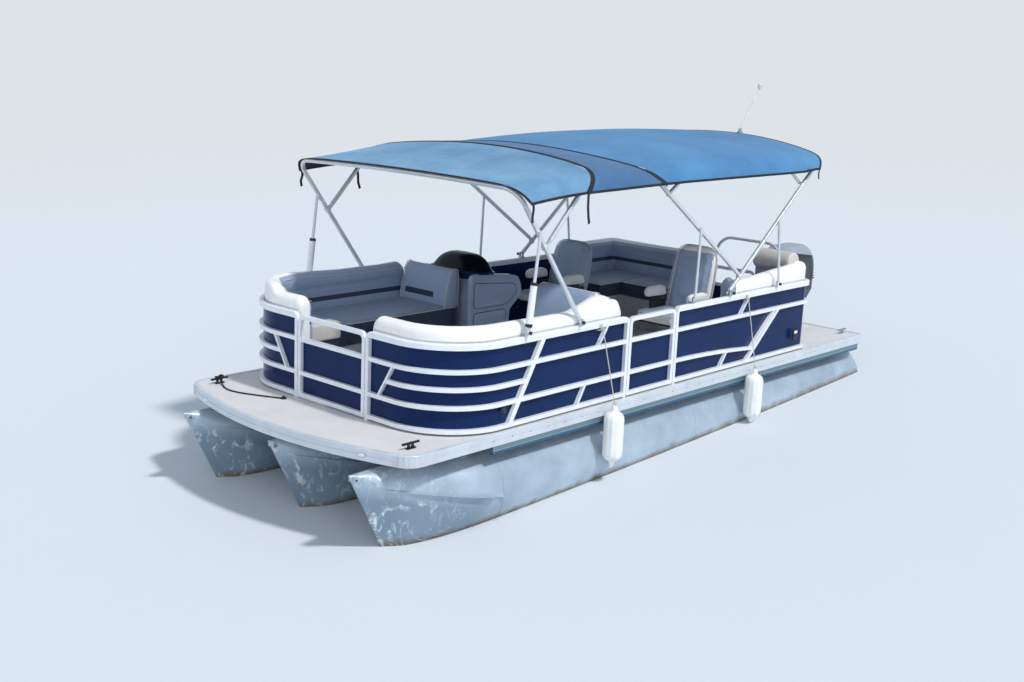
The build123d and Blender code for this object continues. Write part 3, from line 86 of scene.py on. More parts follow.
def add(tree, kind, inputs=(), **settings):
    """Adds one node; inputs gives its sockets a value, or the socket or the node that feeds them."""
    made = tree.nodes.new(kind)
    for name, value in settings.items():
        setattr(made, name, value)
    for socket, value in dict(inputs).items():
        if isinstance(value, bpy.types.Node):
            value = next(out for out in value.outputs if out.enabled)
        if isinstance(value, bpy.types.NodeSocket):
            tree.links.new(value, made.inputs[socket])
        else:
            made.inputs[socket].default_value = value
    return made


def finish_of(name):
    """Empty material, its node tree, and the object coordinates that its textures follow."""
    made = bpy.data.materials.new(name)
    made.use_nodes = True
    made.node_tree.nodes.clear()
    return made, made.node_tree, add(made.node_tree, "ShaderNodeTexCoord").outputs["Object"]


def surface(tree, **sockets):
    """Principled surface joined to the material's output; a socket's name has _ for each space."""
    inputs = {name.replace("_", " "): value for name, value in sockets.items()}
    shader = add(tree, "ShaderNodeBsdfPrincipled", inputs)
    add(tree, "ShaderNodeOutputMaterial", {"Surface": shader})


def full_turn(count):
    """Angles of a full turn in equal steps."""
    return [2 * math.pi * k / count for k in range(count)]


floor_finish, tree, place = finish_of("pale_floor")
away = add(tree, "ShaderNodeVectorMath", {0: place}, operation="LENGTH")
distant = add(tree, "ShaderNodeMapRange", {0: away.outputs["Value"], 1: 7.0, 2: 26.0})
pale = add(tree, "ShaderNodeBsdfDiffuse", {"Color": rgb("d2d8dc")})
haze = add(tree, "ShaderNodeEmission", {"Color": rgb("dde3e7"), "Strength": 1})
far_off = add(tree, "ShaderNodeMixShader", {0: distant, 1: pale, 2: haze})
add(tree, "ShaderNodeOutputMaterial", {"Surface": far_off})
trim_slope = 0.052
reach = 250
rim = [(reach * math.cos(a), reach * math.sin(a)) for a in full_turn(64)]
floor_mesh = bpy.data.meshes.new("floor")
floor_mesh.from_pydata([(x, y, -trim_slope * x) for x, y in rim], [], [tuple(range(len(rim)))])
floor_mesh.materials.append(floor_finish)
floor = bpy.data.objects.new("floor", floor_mesh)
bpy.context.scene.collection.objects.link(floor)

world = bpy.data.worlds.new("soft_studio")
world.use_nodes = True
tree = world.node_tree
tree.nodes.clear()
path = add(tree, "ShaderNodeLightPath").outputs
seen = add(tree, "ShaderNodeMath", {0: path["Is Camera Ray"], 1: path["Is Transmission Ray"]},
           operation="MAXIMUM")
sky = add(tree, "ShaderNodeBackground", {"Color": rgb("cfdff2"), "Strength": 0.62})
backdrop = add(tree, "ShaderNodeBackground", {"Color": rgb("dde3e7"), "Strength": 1})
both = add(tree, "ShaderNodeMixShader", {0: seen, 1: sky, 2: backdrop})
add(tree, "ShaderNodeOutputWorld", {"Surface": both})
bpy.context.scene.world = world
for name, angles, power, spread in (("key_light", (35, 0, 190), 2.35, 5),
                                    ("fill_light", (64, 0, 130), 0.7, 60)):
    lamp = bpy.data.objects.new(name, bpy.data.lights.new(name, "SUN"))
    lamp.data.energy = power
    lamp.data.angle = math.radians(spread)
    lamp.rotation_euler = [math.radians(a) for a in angles]
    bpy.context.scene.collection.objects.link(lamp)

# Fender ropes and mooring line
# Braided polyester rope: thin white ones tie the fenders to the top rail, and a thicker black one lies on
# the bow deck. The fender ropes go over the rail and into the fender's top eye; the mooring line runs from
# its cleat to a knot. The routes are in millimetres.
rope_routes = {
    "fender_rope_forward": [(1020, 1246, 1219), (1020, 1262, 1217), (1018, 1268, 1196), (957, 1374, 616),
                            (951, 1377, 592), (950, 1377, 575)],
    "fender_rope_aft": [(-1075, 1246, 1219), (-1075, 1262, 1217), (-1076, 1268, 1196), (-1107, 1374, 590),
                        (-1110, 1376, 567), (-1110, 1377, 550)],
    "mooring_line": [(2905, -1118, 606), (2908, -1096, 594), (2922, -1060, 579), (2962, -975, 574.4),
                     (2985, -870, 574.4), (2958, -750, 574.4), (2905, -630, 574.4), (2852, -520, 574.4),
                     (2805, -430, 574.4)],
}


def braid(name, light, dark, pitch):
    """Braided cover: strands cross at a slant, pale on top and darker in the grooves between them as painted
    shade. The real strands are about 1 mm wide.
    """
    made, tree, place = finish_of(name)
    one = add(tree, "ShaderNodeTexWave", {"Vector": place, "Scale": 1 / pitch, "Distortion": 1.5},
              bands_direction="DIAGONAL")
    two = add(tree, "ShaderNodeTexWave", {"Vector": place, "Scale": 0.8 / pitch, "Distortion": 1.5},
              bands_direction="Z")
    cross = add(tree, "ShaderNodeMath", {0: one.outputs["Fac"], 1: two.outputs["Fac"]},
                operation="MULTIPLY")
    # The darker tone in the crossings is painted shade
    tint = add(tree, "ShaderNodeMix", {0: cross, 6: rgb(dark), 7: rgb(light)}, data_type="RGBA")
    relief = add(tree, "ShaderNodeBump", {"Height": cross, "Distance": 0.0008})
    surface(tree, Base_Color=tint, Roughness=0.85, Normal=relief)
    return made


white_braid = braid("braided_white_polyester", "efeee9", "bdbab0", 0.012)
black_braid = braid("braided_black_polyester", "2c3038", "0c0e12", 0.014)


def rope_line(name, radius, finish):
    """Rope as a round curve along its route."""
    route = rope_routes[name]
    line = bpy.data.curves.new(name + "_line", "CURVE")
    line.dimensions = "3D"
    spline = line.splines.new("NURBS")
    spline.points.add(len(route) - 1)
    for point, place in zip(spline.points, route):
        point.co = (*[v / 1000 for v in place], 1)
    spline.order_u = 3
    spline.use_endpoint_u = True
    spline.resolution_u = 10
    line.bevel_depth = radius
    line.bevel_resolution = 3
    line.use_fill_caps = True
    line.materials.append(finish)
    made = bpy.data.objects.new(name + "_braided", line)
    bpy.context.scene.collection.objects.link(made)
    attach(made, "hull")
    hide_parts(name)
    return made


for name, length in (("fender_rope_forward", 0.671), ("fender_rope_aft", 0.6925)):
    made = rope_line(name, 0.004, white_braid)
mooring = rope_line("mooring_line", 0.006, black_braid)


def keep(name, work, finish, body, smooth=True, angle=40):
    """Turns a bmesh into a piece at the origin that rides on a body."""
    mesh = bpy.data.meshes.new(name)
    work.to_mesh(mesh)
    work.free()
    mesh.materials.append(finish)
    made = bpy.data.objects.new(name, mesh)
    bpy.context.scene.collection.objects.link(made)
    if smooth:
        mesh.shade_smooth()
        mesh.set_sharp_from_angle(angle=math.radians(angle))
    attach(made, body)
    return made


def skin(work, rings, closed=False):
    """Joins each ring of points to the next; the ends are capped, or meet in a closed loop."""
    sides = len(rings[0])
    for low, high in list(zip(rings, rings[1:])) + ([(rings[-1], rings[0])] if closed else []):
        for k in range(sides):
            work.faces.new((low[k], low[(k + 1) % sides], high[(k + 1) % sides], high[k]))
    if not closed:
        work.faces.new(rings[0][::-1])
        work.faces.new(rings[-1])


def tube_mesh(work, places, radii, sides=12, closed=False):
    """Adds a round tube along places, with a radius at each, to a bmesh."""
    places = [Vector(p) for p in places]
    radii = [radii] * len(places) if isinstance(radii, (int, float)) else radii
    rings, side = [], None
    for i, place in enumerate(places):
        if closed:
            run = places[(i + 1) % len(places)] - places[i - 1]
        else:
            run = places[min(i + 1, len(places) - 1)] - places[max(i - 1, 0)]
        run.normalize()
        side = (side or run.orthogonal()) - run * run.dot(side or run.orthogonal())
        side.normalize()
        other = run.cross(side)
        rings.append([work.verts.new(place + (side * math.cos(a) + other * math.sin(a)) * radii[i])
                      for a in full_turn(sides)])
    skin(work, rings, closed)


def tubes(name, lines, radii, finish, sides=8, closed=False, body="hull"):
    """Piece of round tubes, one along each line of points."""
    work = bmesh.new()
    for line in lines:
        tube_mesh(work, line, radii, sides, closed)
    return keep(name, work, finish, body)


# The mooring line ends in a stopper knot, and is made fast with turns round the cleat's horns
knot_line = [(2.805 + 0.012 * math.sin(2 * a) - 0.006, -0.43 + 0.016 * math.cos(a) + 0.006,
              0.5795 + 0.006 * math.sin(3 * a)) for a in full_turn(28)]
knot = tubes("mooring_line_knot", [knot_line], 0.0055, black_braid, 12, closed=True)
steps, horn_line = 32, []
for k in range(3 * steps + 1):
    a = 2 * math.pi * k / steps
    horn_line.append((2.905 + 0.034 * math.sin(a), -1.12 + 0.012 * math.sin(2 * a) +
                      0.002 * math.sin(a / 3), 0.618 + 0.0035 * math.cos(a) + 0.0035 * k / steps))
fast = tubes("mooring_line_turns", [horn_line], 0.0055, black_braid, 12)


# Tubes, weld beads and keels
# Welded marine aluminium, 2.5 mm thick: satin and slightly oxidised, its nosecones scuffed from beaching.
# A brown stain has dried on just over the waterline.
tube_metal, tree, place = finish_of("welded_marine_aluminium")
apart = add(tree, "ShaderNodeSeparateXYZ", {0: place})
rise = add(tree, "ShaderNodeMath", {0: apart.outputs[0], 1: trim_slope, 2: apart.outputs[2]},
           operation="MULTIPLY_ADD")
# Rolling marks run along the sheet, about 3 mm apart
along = add(tree, "ShaderNodeMapping", {0: place, "Scale": (0.6, 30, 30)})
rolled = add(tree, "ShaderNodeTexNoise", {"Vector": along, "Scale": 10, "Detail": 4})
cloudy = add(tree, "ShaderNodeTexNoise", {"Vector": place, "Scale": 2.6, "Detail": 5, "Roughness": 0.62})
base = add(tree, "ShaderNodeValToRGB", {0: cloudy})
base.color_ramp.elements[0].color, base.color_ramp.elements[1].color = rgb("a3b4c3"), rgb("c3d1dd")
base.color_ramp.elements[0].position, base.color_ramp.elements[1].position = 0.3, 0.7
# The stain fades out some 60 mm over the waterline, with a ragged edge
edge = add(tree, "ShaderNodeTexNoise", {"Vector": place, "Scale": 9, "Detail": 6, "Roughness": 0.7})
ragged = add(tree, "ShaderNodeMath", {0: edge, 1: -0.11, 2: rise}, operation="MULTIPLY_ADD")
stain = add(tree, "ShaderNodeMapRange", {0: ragged, 1: -0.052, 2: 0.008, 3: 0.9, 4: 0.0})
# Under the lifting strakes the nosecones are dulled by weed and sand
under = add(tree, "ShaderNodeMath", {0: apart.outputs[0], 1: -0.215, 2: 0.965}, operation="MULTIPLY_ADD")
drop = add(tree, "ShaderNodeMath", {0: apart.outputs[2], 1: under}, operation="ADD")
beneath = add(tree, "ShaderNodeMapRange", {0: drop, 1: 0.50, 2: 0.62, 3: 0.75, 4: 0.0})
forepart = add(tree, "ShaderNodeMapRange", {0: apart.outputs[0], 1: 2.0, 2: 2.4})
strake_shadow = add(tree, "ShaderNodeMath", {0: beneath, 1: forepart}, operation="MULTIPLY")
strake_shadowed = add(tree, "ShaderNodeMix", {0: strake_shadow, 6: base, 7: rgb("71899a")}, data_type="RGBA")
stained = add(tree, "ShaderNodeMix", {0: stain, 6: strake_shadowed, 7: rgb("6d5c40")}, data_type="RGBA")
# Scuffs: pale streaks on the forward 0.9 m, where the nose meets sand and docks
forward = add(tree, "ShaderNodeMapRange", {0: apart.outputs[0], 1: 2.35, 2: 3.1})
stretch = add(tree, "ShaderNodeMapping", {0: place, "Scale": (1.2, 3, 1.0), "Rotation": (0, 0.5, 0)})
scratch = add(tree, "ShaderNodeTexNoise", {"Vector": stretch, "Scale": 7, "Detail": 10, "Roughness": 0.72,
                                           "Distortion": 1.2})
streak = add(tree, "ShaderNodeMapRange", {0: scratch, 1: 0.53, 2: 0.66})
scuffed = add(tree, "ShaderNodeMath", {0: streak, 1: forward}, operation="MULTIPLY")
worn = add(tree, "ShaderNodeMix", {0: scuffed, 6: stained, 7: rgb("eef3f5")}, data_type="RGBA")
dulled = add(tree, "ShaderNodeMix", {0: scuffed, 2: 0.36, 3: 0.62}, data_type="FLOAT")
coarse = add(tree, "ShaderNodeMath", {0: stain, 1: 0.3, 2: dulled}, operation="MULTIPLY_ADD")
relief = add(tree, "ShaderNodeBump", {"Height": rolled, "Distance": 0.0012, "Strength": 0.5})
metal = add(tree, "ShaderNodeMath", {0: stain, 1: -0.3, 2: 0.42}, operation="MULTIPLY_ADD")
surface(tree, Base_Color=worn, Metallic=metal, Roughness=coarse, Normal=relief)


def coat(finish, *names):
    """Gives CAD nodes their material."""
    for name in names:
        nodes[name].data.materials.clear()
        nodes[name].data.materials.append(finish)


coat(tube_metal, "tube_port", "tube_center", "tube_starboard")


# Deck frame, pod and transom
# Mill-finish aluminium channels and risers, bolted and welded under the deck, with the rolled grain on
# them.
mill, tree, place = finish_of("mill_finish_aluminium")
along = add(tree, "ShaderNodeMapping", {0: place, "Scale": (8, 1, 8)})
grain = add(tree, "ShaderNodeTexNoise", {"Vector": along, "Scale": 30, "Detail": 3})
tint = add(tree, "ShaderNodeValToRGB", {0: grain})
tint.color_ramp.elements[0].color, tint.color_ramp.elements[1].color = rgb("8d949b"), rgb("b6bcc2")
rough = add(tree, "ShaderNodeMapRange", {0: grain, 3: 0.35, 4: 0.55})
surface(tree, Base_Color=tint, Metallic=0.9, Roughness=rough)
coat(mill, "deck_frame", "motor_pod")


# Deck
# Marine plywood under woven vinyl: a flat basket weave of two pale grey yarns, glued down.
# The real yarns are 3 mm apart; they are drawn 6 mm apart so that they show.
weave_pitch = 0.006
yarns = {"Scale": 1 / (weave_pitch * 6.283), "Distortion": 0.4, "Detail Scale": 3}
deck_cloth, tree, place = finish_of("woven_vinyl_deck")
warp = add(tree, "ShaderNodeTexWave", {"Vector": place, **yarns}, bands_direction="X")
weft = add(tree, "ShaderNodeTexWave", {"Vector": place, **yarns}, bands_direction="Y")
over = add(tree, "ShaderNodeMath", {0: warp.outputs["Fac"], 1: weft.outputs["Fac"]}, operation="SUBTRACT")
height = add(tree, "ShaderNodeMath", {0: over}, operation="ABSOLUTE")
blot = add(tree, "ShaderNodeTexNoise", {"Vector": place, "Scale": 3.5, "Detail": 8, "Roughness": 0.7})
yarn = add(tree, "ShaderNodeMix", {0: height, 6: rgb("cbc8c7"), 7: rgb("e3e1e1")}, data_type="RGBA")
faded = add(tree, "ShaderNodeMapRange", {0: blot, 1: 0.35, 2: 0.7, 3: 0.93, 4: 1.04})
dirt = add(tree, "ShaderNodeVectorMath", {0: yarn, 1: faded}, operation="MULTIPLY")
relief = add(tree, "ShaderNodeBump", {"Height": height, "Distance": 0.0008, "Strength": 0.3})
surface(tree, Base_Color=dirt, Roughness=0.78, Normal=relief)
coat(deck_cloth, "deck_panel")


# Deck trim and skirts
# Extruded aluminium edge with a clear white finish, screwed to the channels, over a thin bright skirt.
# The skirt's colour is a painted reflection: grey-green at its top, a light line, and deep blue in its lower
# half.
def mottled(name, low, high, cloud, rough, relief=(), ends=(0, 1), **more):
    """Finish that drifts between two tones. cloud is the scale, detail and roughness of the noise that mixes
    them, and spreads the roughness where that is a range. relief is the grain's node, scale, height and
    strength; without a node the same noise serves."""
    made, tree, place = finish_of(name)
    drift = dict(zip(("Scale", "Detail", "Roughness"), cloud))
    noise = add(tree, "ShaderNodeTexNoise", {"Vector": place, **drift})
    tint = add(tree, "ShaderNodeValToRGB", {0: noise})
    for stop, position, code in zip(tint.color_ramp.elements, ends, (low, high)):
        stop.position, stop.color = position, rgb(code)
    if isinstance(rough, tuple):
        rough = add(tree, "ShaderNodeMapRange", {0: noise, 3: rough[0], 4: rough[1]})
    if relief:
        kind, scale, height, strength = relief
        grain = add(tree, kind, {"Vector": place, "Scale": scale}) if kind else noise
        more["Normal"] = add(tree, "ShaderNodeBump",
                             {"Height": grain, "Distance": height, "Strength": strength})
    surface(tree, Base_Color=tint, Roughness=rough, **more)
    return made


trim_white = mottled("white_powder_coated_extrusion", "ccd3db", "dbe1e7", (5, 6, 0.6), (0.28, 0.42),
                     ("ShaderNodeTexNoise", 600, 0.0002, 0.4), (0.3, 0.7), Metallic=0.25)
coat(trim_white, "deck_edge_trim")

skirt_metal, tree, place = finish_of("bright_skirt_painted_reflection")
apart = add(tree, "ShaderNodeSeparateXYZ", {0: place})
# Painted reflection, laid in bands by height
reflection_band = add(tree, "ShaderNodeMapRange", {0: apart.outputs[2], 1: 0.408, 2: 0.49})
tint = add(tree, "ShaderNodeValToRGB", {0: reflection_band})
tint.color_ramp.elements[0].color, tint.color_ramp.elements[1].color = rgb("2f5f8c"), rgb("8fa3a8")
for position, code in ((0.42, "3f6a86"), (0.5, "a9bcc2"), (0.56, "6e868c")):
    tint.color_ramp.elements.new(position).color = rgb(code)
stretch = add(tree, "ShaderNodeMapping", {0: place, "Scale": (1, 1, 6)})
ripple = add(tree, "ShaderNodeTexNoise", {"Vector": stretch, "Scale": 3, "Detail": 3})
relief = add(tree, "ShaderNodeBump", {"Height": ripple, "Distance": 0.004, "Strength": 0.3})
surface(tree, Base_Color=tint, Metallic=0.55, Roughness=0.24, Normal=relief)
coat(skirt_metal, "side_skirts")


# Fence rails and gates
# Square aluminium tube, bent cold and welded, with a white powder coat that is chalky where it is leant on.
rail_white = mottled("powder_coated_rail", "e6ebf2", "f1f4f8", (14, 5, 0.65), 0.33,
                     ("ShaderNodeTexNoise", 500, 0.0002, 0.4), (0.3, 0.7), Metallic=0.1, Coat_Weight=0.3)
coat(rail_white, "fence_bow_port", "fence_bow_starboard", "fence_quarter_port", "fence_starboard",
     "gate_bow", "gate_side", "gate_stern")

# Fence sheets: 0.8 mm aluminium in glossy navy enamel, riveted behind the rails, a little wavy between them
navy, tree, place = finish_of("navy_gloss_enamel")
wavy = add(tree, "ShaderNodeTexNoise", {"Vector": place, "Scale": 1.6, "Detail": 2})
flake = add(tree, "ShaderNodeTexVoronoi", {"Vector": place, "Scale": 900})
dust = add(tree, "ShaderNodeTexNoise", {"Vector": place, "Scale": 7, "Detail": 8, "Roughness": 0.7})
tint = add(tree, "ShaderNodeValToRGB", {0: wavy})
tint.color_ramp.elements[0].color, tint.color_ramp.elements[1].color = rgb("0a1b41"), rgb("112a5a")
# Specks lightened towards a brighter blue: painted glints in the enamel
glint = add(tree, "ShaderNodeMath", {0: flake, 1: 0.12}, operation="MULTIPLY")
lit = add(tree, "ShaderNodeMix", {0: glint, 6: tint, 7: rgb("2c4f8a")}, data_type="RGBA")
relief = add(tree, "ShaderNodeBump", {"Height": wavy, "Distance": 0.01, "Strength": 0.25})
rough = add(tree, "ShaderNodeMapRange", {0: dust, 1: 0.3, 2: 0.75, 3: 0.12, 4: 0.26})
surface(tree, Base_Color=lit, Roughness=rough, Normal=relief, Specular_IOR_Level=0.12)
coat(navy, "fence_sheets")

# Gate sheets: the same navy sheet, let into each gate between its rails
gate_places = {
    "gate_bow": (Vector((2.695, 0.387, 0)), Vector((0, -1, 0)), Vector((1, 0, 0)), 0.774),
    "gate_side": (Vector((0.008, 1.25, 0)), Vector((1, 0, 0)), Vector((0, 1, 0)), 0.634),
    "gate_stern": (Vector((-2.275, 0.008, 0)), Vector((0, 1, 0)), Vector((-1, 0, 0)), 0.604),
}
for name, (corner, along, out, width) in gate_places.items():
    work = bmesh.new()
    # Two sheets between the rails, and one behind them over the gate's full height
    for low, high, depth, inset, thick in ((0.6172, 0.7578, -0.0288, 0.0322, -0.0004),
                                           (0.7902, 1.0228, -0.0288, 0.0322, -0.0004),
                                           (0.5862, 1.0238, -0.0326, 0.004, 0.0004)):
        corners = ((inset, low), (width - inset, low), (width - inset, high), (inset, high))
        places = [corner + along * s + out * depth + Vector((0, 0, z)) for s, z in corners]
        face = work.faces.new([work.verts.new(p) for p in places])
        made = bmesh.ops.extrude_face_region(work, geom=[face])
        moved = [v for v in made["geom"] if isinstance(v, bmesh.types.BMVert)]
        bmesh.ops.translate(work, vec=out * thick, verts=moved)
    bmesh.ops.recalc_face_normals(work, faces=work.faces)
    keep(name + "_sheet", work, navy, name, smooth=False)


# Seat bases
# Rotomoulded polyethylene boxes screwed to the deck: pale grey, matt, with a fine moulded pebble.
moulded = mottled("rotomoulded_polyethylene", "9b9ea3", "b9bbbe", (6, 4), 0.55,
                  ("ShaderNodeTexVoronoi", 260, 0.0006, 0.5))
coat(moulded, "couch_bases")


# Couches
# Foam on plastic boards under marine vinyl: white outside and over the rolled top, light grey inside, with
# a dark stripe along each back and piping in the seams. Cloth pressure fills each cushion, held at its
# seams.
def vinyl(name, white, grey, dark):
    """Marine vinyl with a grain of about 2 mm; the mesh's shade attribute picks one of its colours."""
    made, tree, place = finish_of(name)
    grain = add(tree, "ShaderNodeTexVoronoi", {"Vector": place, "Scale": 420}, feature="DISTANCE_TO_EDGE")
    soft = add(tree, "ShaderNodeTexNoise", {"Vector": place, "Scale": 9, "Detail": 5, "Roughness": 0.6})
    part = add(tree, "ShaderNodeAttribute", attribute_name="shade")
    inner = add(tree, "ShaderNodeMath", {0: part.outputs["Fac"], 1: 0.5}, operation="GREATER_THAN")
    deep = add(tree, "ShaderNodeMath", {0: part.outputs["Fac"], 1: 1.5}, operation="GREATER_THAN")
    two = add(tree, "ShaderNodeMix", {0: inner, 6: rgb(white), 7: rgb(grey)}, data_type="RGBA")
    # Seat tops get painted shade: their grey is pulled part way towards the dark colour
    seat = add(tree, "ShaderNodeMath", {0: part.outputs["Fac"], 1: 1.2, 2: 0.05}, operation="COMPARE")
    dull = add(tree, "ShaderNodeMapRange", {0: seat, 3: 0.0, 4: 0.38})
    shaded_seat_top = add(tree, "ShaderNodeMix", {0: dull, 6: two, 7: rgb(dark)}, data_type="RGBA")
    three = add(tree, "ShaderNodeMix", {0: deep, 6: shaded_seat_top, 7: rgb(dark)}, data_type="RGBA")
    mottle = add(tree, "ShaderNodeMapRange", {0: soft, 1: 0.3, 2: 0.7, 3: 0.94, 4: 1.03})
    tint = add(tree, "ShaderNodeVectorMath", {0: three, 1: mottle}, operation="MULTIPLY")
    crease = add(tree, "ShaderNodeTexNoise", {"Vector": place, "Scale": 22, "Detail": 3, "Distortion": 0.8})
    height = add(tree, "ShaderNodeMath", {0: crease, 1: 6.0, 2: grain}, operation="MULTIPLY_ADD")
    relief = add(tree, "ShaderNodeBump", {"Height": height, "Distance": 0.0006, "Strength": 0.5})
    rough = add(tree, "ShaderNodeMapRange", {0: soft, 3: 0.36, 4: 0.5})
    surface(tree, Base_Color=tint, Roughness=rough, Normal=relief,
            Sheen_Weight=0.08, Coat_Weight=0.08)
    return made


# The grey is tinted blue: painted light, the sky's blue cast in the canopy's shade
marine_vinyl = vinyl("marine_vinyl", "f6f6f4", "9badc6", "2c3850")
aged_vinyl = vinyl("aged_marine_vinyl", "cdc8c3", "cdc8c3", "cdc8c3")
piping = mottled("vinyl_piping", "b4b5b8", "d3d3d2", (60,), 0.4)

fence_front, fence_half, fence_rear, bow_radius, stern_radius = 2.695, 1.25, -2.275, 0.56, 0.13


def fence_point(run, depth, side=1):
    """Point in plan at a run along the fence's outer face from the bow's middle, and a depth inside it."""
    lengths = [fence_half - bow_radius, bow_radius * math.pi / 2,
               fence_front - fence_rear - bow_radius - stern_radius, stern_radius * math.pi / 2]
    if run < lengths[0]:
        x, y = fence_front - depth, run
    elif run < sum(lengths[:2]):
        a = (run - lengths[0]) / bow_radius
        x = fence_front - bow_radius + (bow_radius - depth) * math.cos(a)
        y = fence_half - bow_radius + (bow_radius - depth) * math.sin(a)
    elif run < sum(lengths[:3]):
        x, y = fence_front - bow_radius - (run - sum(lengths[:2])), fence_half - depth
    elif run < sum(lengths):
        a = (run - sum(lengths[:3])) / stern_radius
        radius = stern_radius - depth
        x = fence_rear + stern_radius - radius * math.sin(a)
        y = fence_half - stern_radius + radius * math.cos(a)
    else:
        x, y = fence_rear + depth, fence_half - stern_radius - (run - sum(lengths))
    return x, side * y


def run_at(x=None, y=None):
    """Run along the fence where its side passes x, or where its stern passes y."""
    if x is not None:
        return fence_half - bow_radius + bow_radius * math.pi / 2 + fence_front - bow_radius - x
    return run_at(x=fence_rear + stern_radius) + stern_radius * math.pi / 2 + fence_half - stern_radius - y


def filled(made, voxel, most, hold):
    """Fills a closed cover by cloth pressure with its seams held; no point moves by more than most."""
    even = made.modifiers.new("even", "REMESH")
    even.mode, even.voxel_size, even.use_smooth_shade = "VOXEL", voxel, True
    bpy.context.view_layer.update()
    mesh = bpy.data.meshes.new_from_object(made.evaluated_get(bpy.context.evaluated_depsgraph_get()))
    made.modifiers.clear()
    made.data = mesh
    rest = np.array([v.co for v in mesh.vertices])
    cloth_frames = 14
    held = made.vertex_groups.new(name="seams")
    for i, place in enumerate(rest):
        weight = hold(Vector(place))
        if weight > 0:
            held.add([i], weight, "REPLACE")
    cloth = made.modifiers.new("fill", "CLOTH")
    cloth.settings.quality = 4
    cloth.settings.tension_stiffness = cloth.settings.compression_stiffness = 12
    cloth.settings.bending_stiffness = 2
    cloth.settings.use_pressure = True
    cloth.settings.uniform_pressure_force = 4.0
    cloth.settings.effector_weights.gravity = 0
    cloth.settings.vertex_group_mass = "seams"
    cloth.settings.pin_stiffness = 2
    cloth.point_cache.frame_start, cloth.point_cache.frame_end = 1, cloth_frames
    for step in range(1, cloth_frames + 1):
        bpy.context.scene.frame_set(step)
    shaped = bpy.data.meshes.new_from_object(made.evaluated_get(bpy.context.evaluated_depsgraph_get()))
    made.modifiers.clear()
    made.vertex_groups.clear()
    moved = np.array([v.co for v in shaped.vertices]) - rest
    length = np.maximum(np.linalg.norm(moved, axis=1, keepdims=True), 1e-9)
    rest = rest + moved * np.minimum(1, most / length)
    bpy.context.scene.frame_set(1)
    mesh.vertices.foreach_set("co", rest.astype(np.float32).ravel())
    work = bmesh.new()
    work.from_mesh(mesh)
    for _ in range(2):
        bmesh.ops.smooth_vert(work, verts=work.verts, factor=0.4,
                              use_axis_x=True, use_axis_y=True, use_axis_z=True)
    work.to_mesh(mesh)
    work.free()
    mesh.shade_smooth()


def pad(name, cover, voxel, most, hold, shade, body="hull", finish=marine_vinyl):
    """Padded piece; shade gives a point's colour: 0 white, 1 grey, 1.2 a seat's grey top with painted shade,
    2 dark.
    """
    made = keep(name, cover, finish, body)
    filled(made, voxel, most, hold)
    mesh = made.data
    mesh.materials.clear()
    mesh.materials.append(finish)
    values = mesh.attributes.new("shade", "FLOAT", "POINT")
    values.data.foreach_set("value", [shade(v.co) for v in mesh.vertices])
    return made


def solid(rows, outward=True):
    """Closed bmesh skinned over rows of points; each row goes once round it."""
    work = bmesh.new()
    skin(work, [[work.verts.new(p) for p in row] for row in rows])
    if outward:
        bmesh.ops.recalc_face_normals(work, faces=work.faces)
    return work


def swept_cover(runs, section, side):
    """Closed cover along the fence: section gives (depth, z) rows for a share from 0 to 1 along it."""
    last = len(runs) - 1
    return solid([[(*fence_point(run, depth, side), z) for depth, z in section(i / last)]
                  for i, run in enumerate(runs)])


def back_section(share, length, lift=0.0):
    """Section of a couch back: flat outside, rolled top that leans over the rail, raked inner face."""
    near_end = min(share, 1 - share) * length
    ease = math.sqrt(max(0.0, 1 - max(0.0, 1 - near_end / 0.05) ** 2))
    top = 1.352 + lift - 0.035 * (1 - ease)
    out, inner, low = 0.043 + 0.012 * (1 - ease), 0.168 - 0.012 * (1 - ease), 0.975
    roll = [(out, top - 0.052), (out + 0.012, top - 0.018), (out + 0.036, top), (inner - 0.05, top + 0.002),
            (inner - 0.016, top - 0.018), (inner + 0.002, top - 0.062)]
    return [(out, low), (out, 1.25), *roll, (inner - 0.006, 1.19), (inner + 0.004, 1.10),
            (inner + 0.002, low)]


def couch_back(name, start, end, side, lift=lambda run: 0.0):
    """Back of a couch between two runs along the fence; lift raises its top there."""
    welt_z, stripe_z, seam_z = 1.25, 1.155, 1.306
    runs = np.linspace(start, end, max(12, int((end - start) / 0.05)))

    def section(share):
        return back_section(share, end - start, lift(start + (end - start) * share))

    def hold(p):
        return 1.0 if abs(p.z - welt_z) < 0.012 or abs(p.z - stripe_z) < 0.03 or p.z < 1.0 else 0.0

    def shade(p):
        # Along the starboard run under the canopy the grey is carried further out and up over the roll:
        # painted shade of the canopy
        canopy_shade_run = side < 0 and 0 < p.x < 2.4
        edge, over = (0.110, 0.08) if canopy_shade_run else (0.135, 0.02)
        if depth_of(p) <= edge or p.z >= seam_z + over:
            return 0.0
        return 2.0 if abs(p.z - stripe_z) < 0.019 else 1.0

    pad(name, swept_cover(runs, section, side), 0.013, 0.009, hold, shade)
    places = np.linspace(start + 0.03, end - 0.03, 90)
    tubes(name + "_piping", [[(*fence_point(run, 0.1735, side), seam_z + lift(run)) for run in places],
                             [(*fence_point(run, 0.0405, side), welt_z + 0.0035) for run in places]],
          0.0035, piping)


def depth_of(p):
    """How far inside the fence's outer face a point lies, in plan."""
    y = abs(p.y)
    if p.x > fence_front - bow_radius and y > fence_half - bow_radius:
        return bow_radius - math.hypot(p.x - fence_front + bow_radius, y - fence_half + bow_radius)
    return min(fence_front - p.x, fence_half - y, p.x - fence_rear)


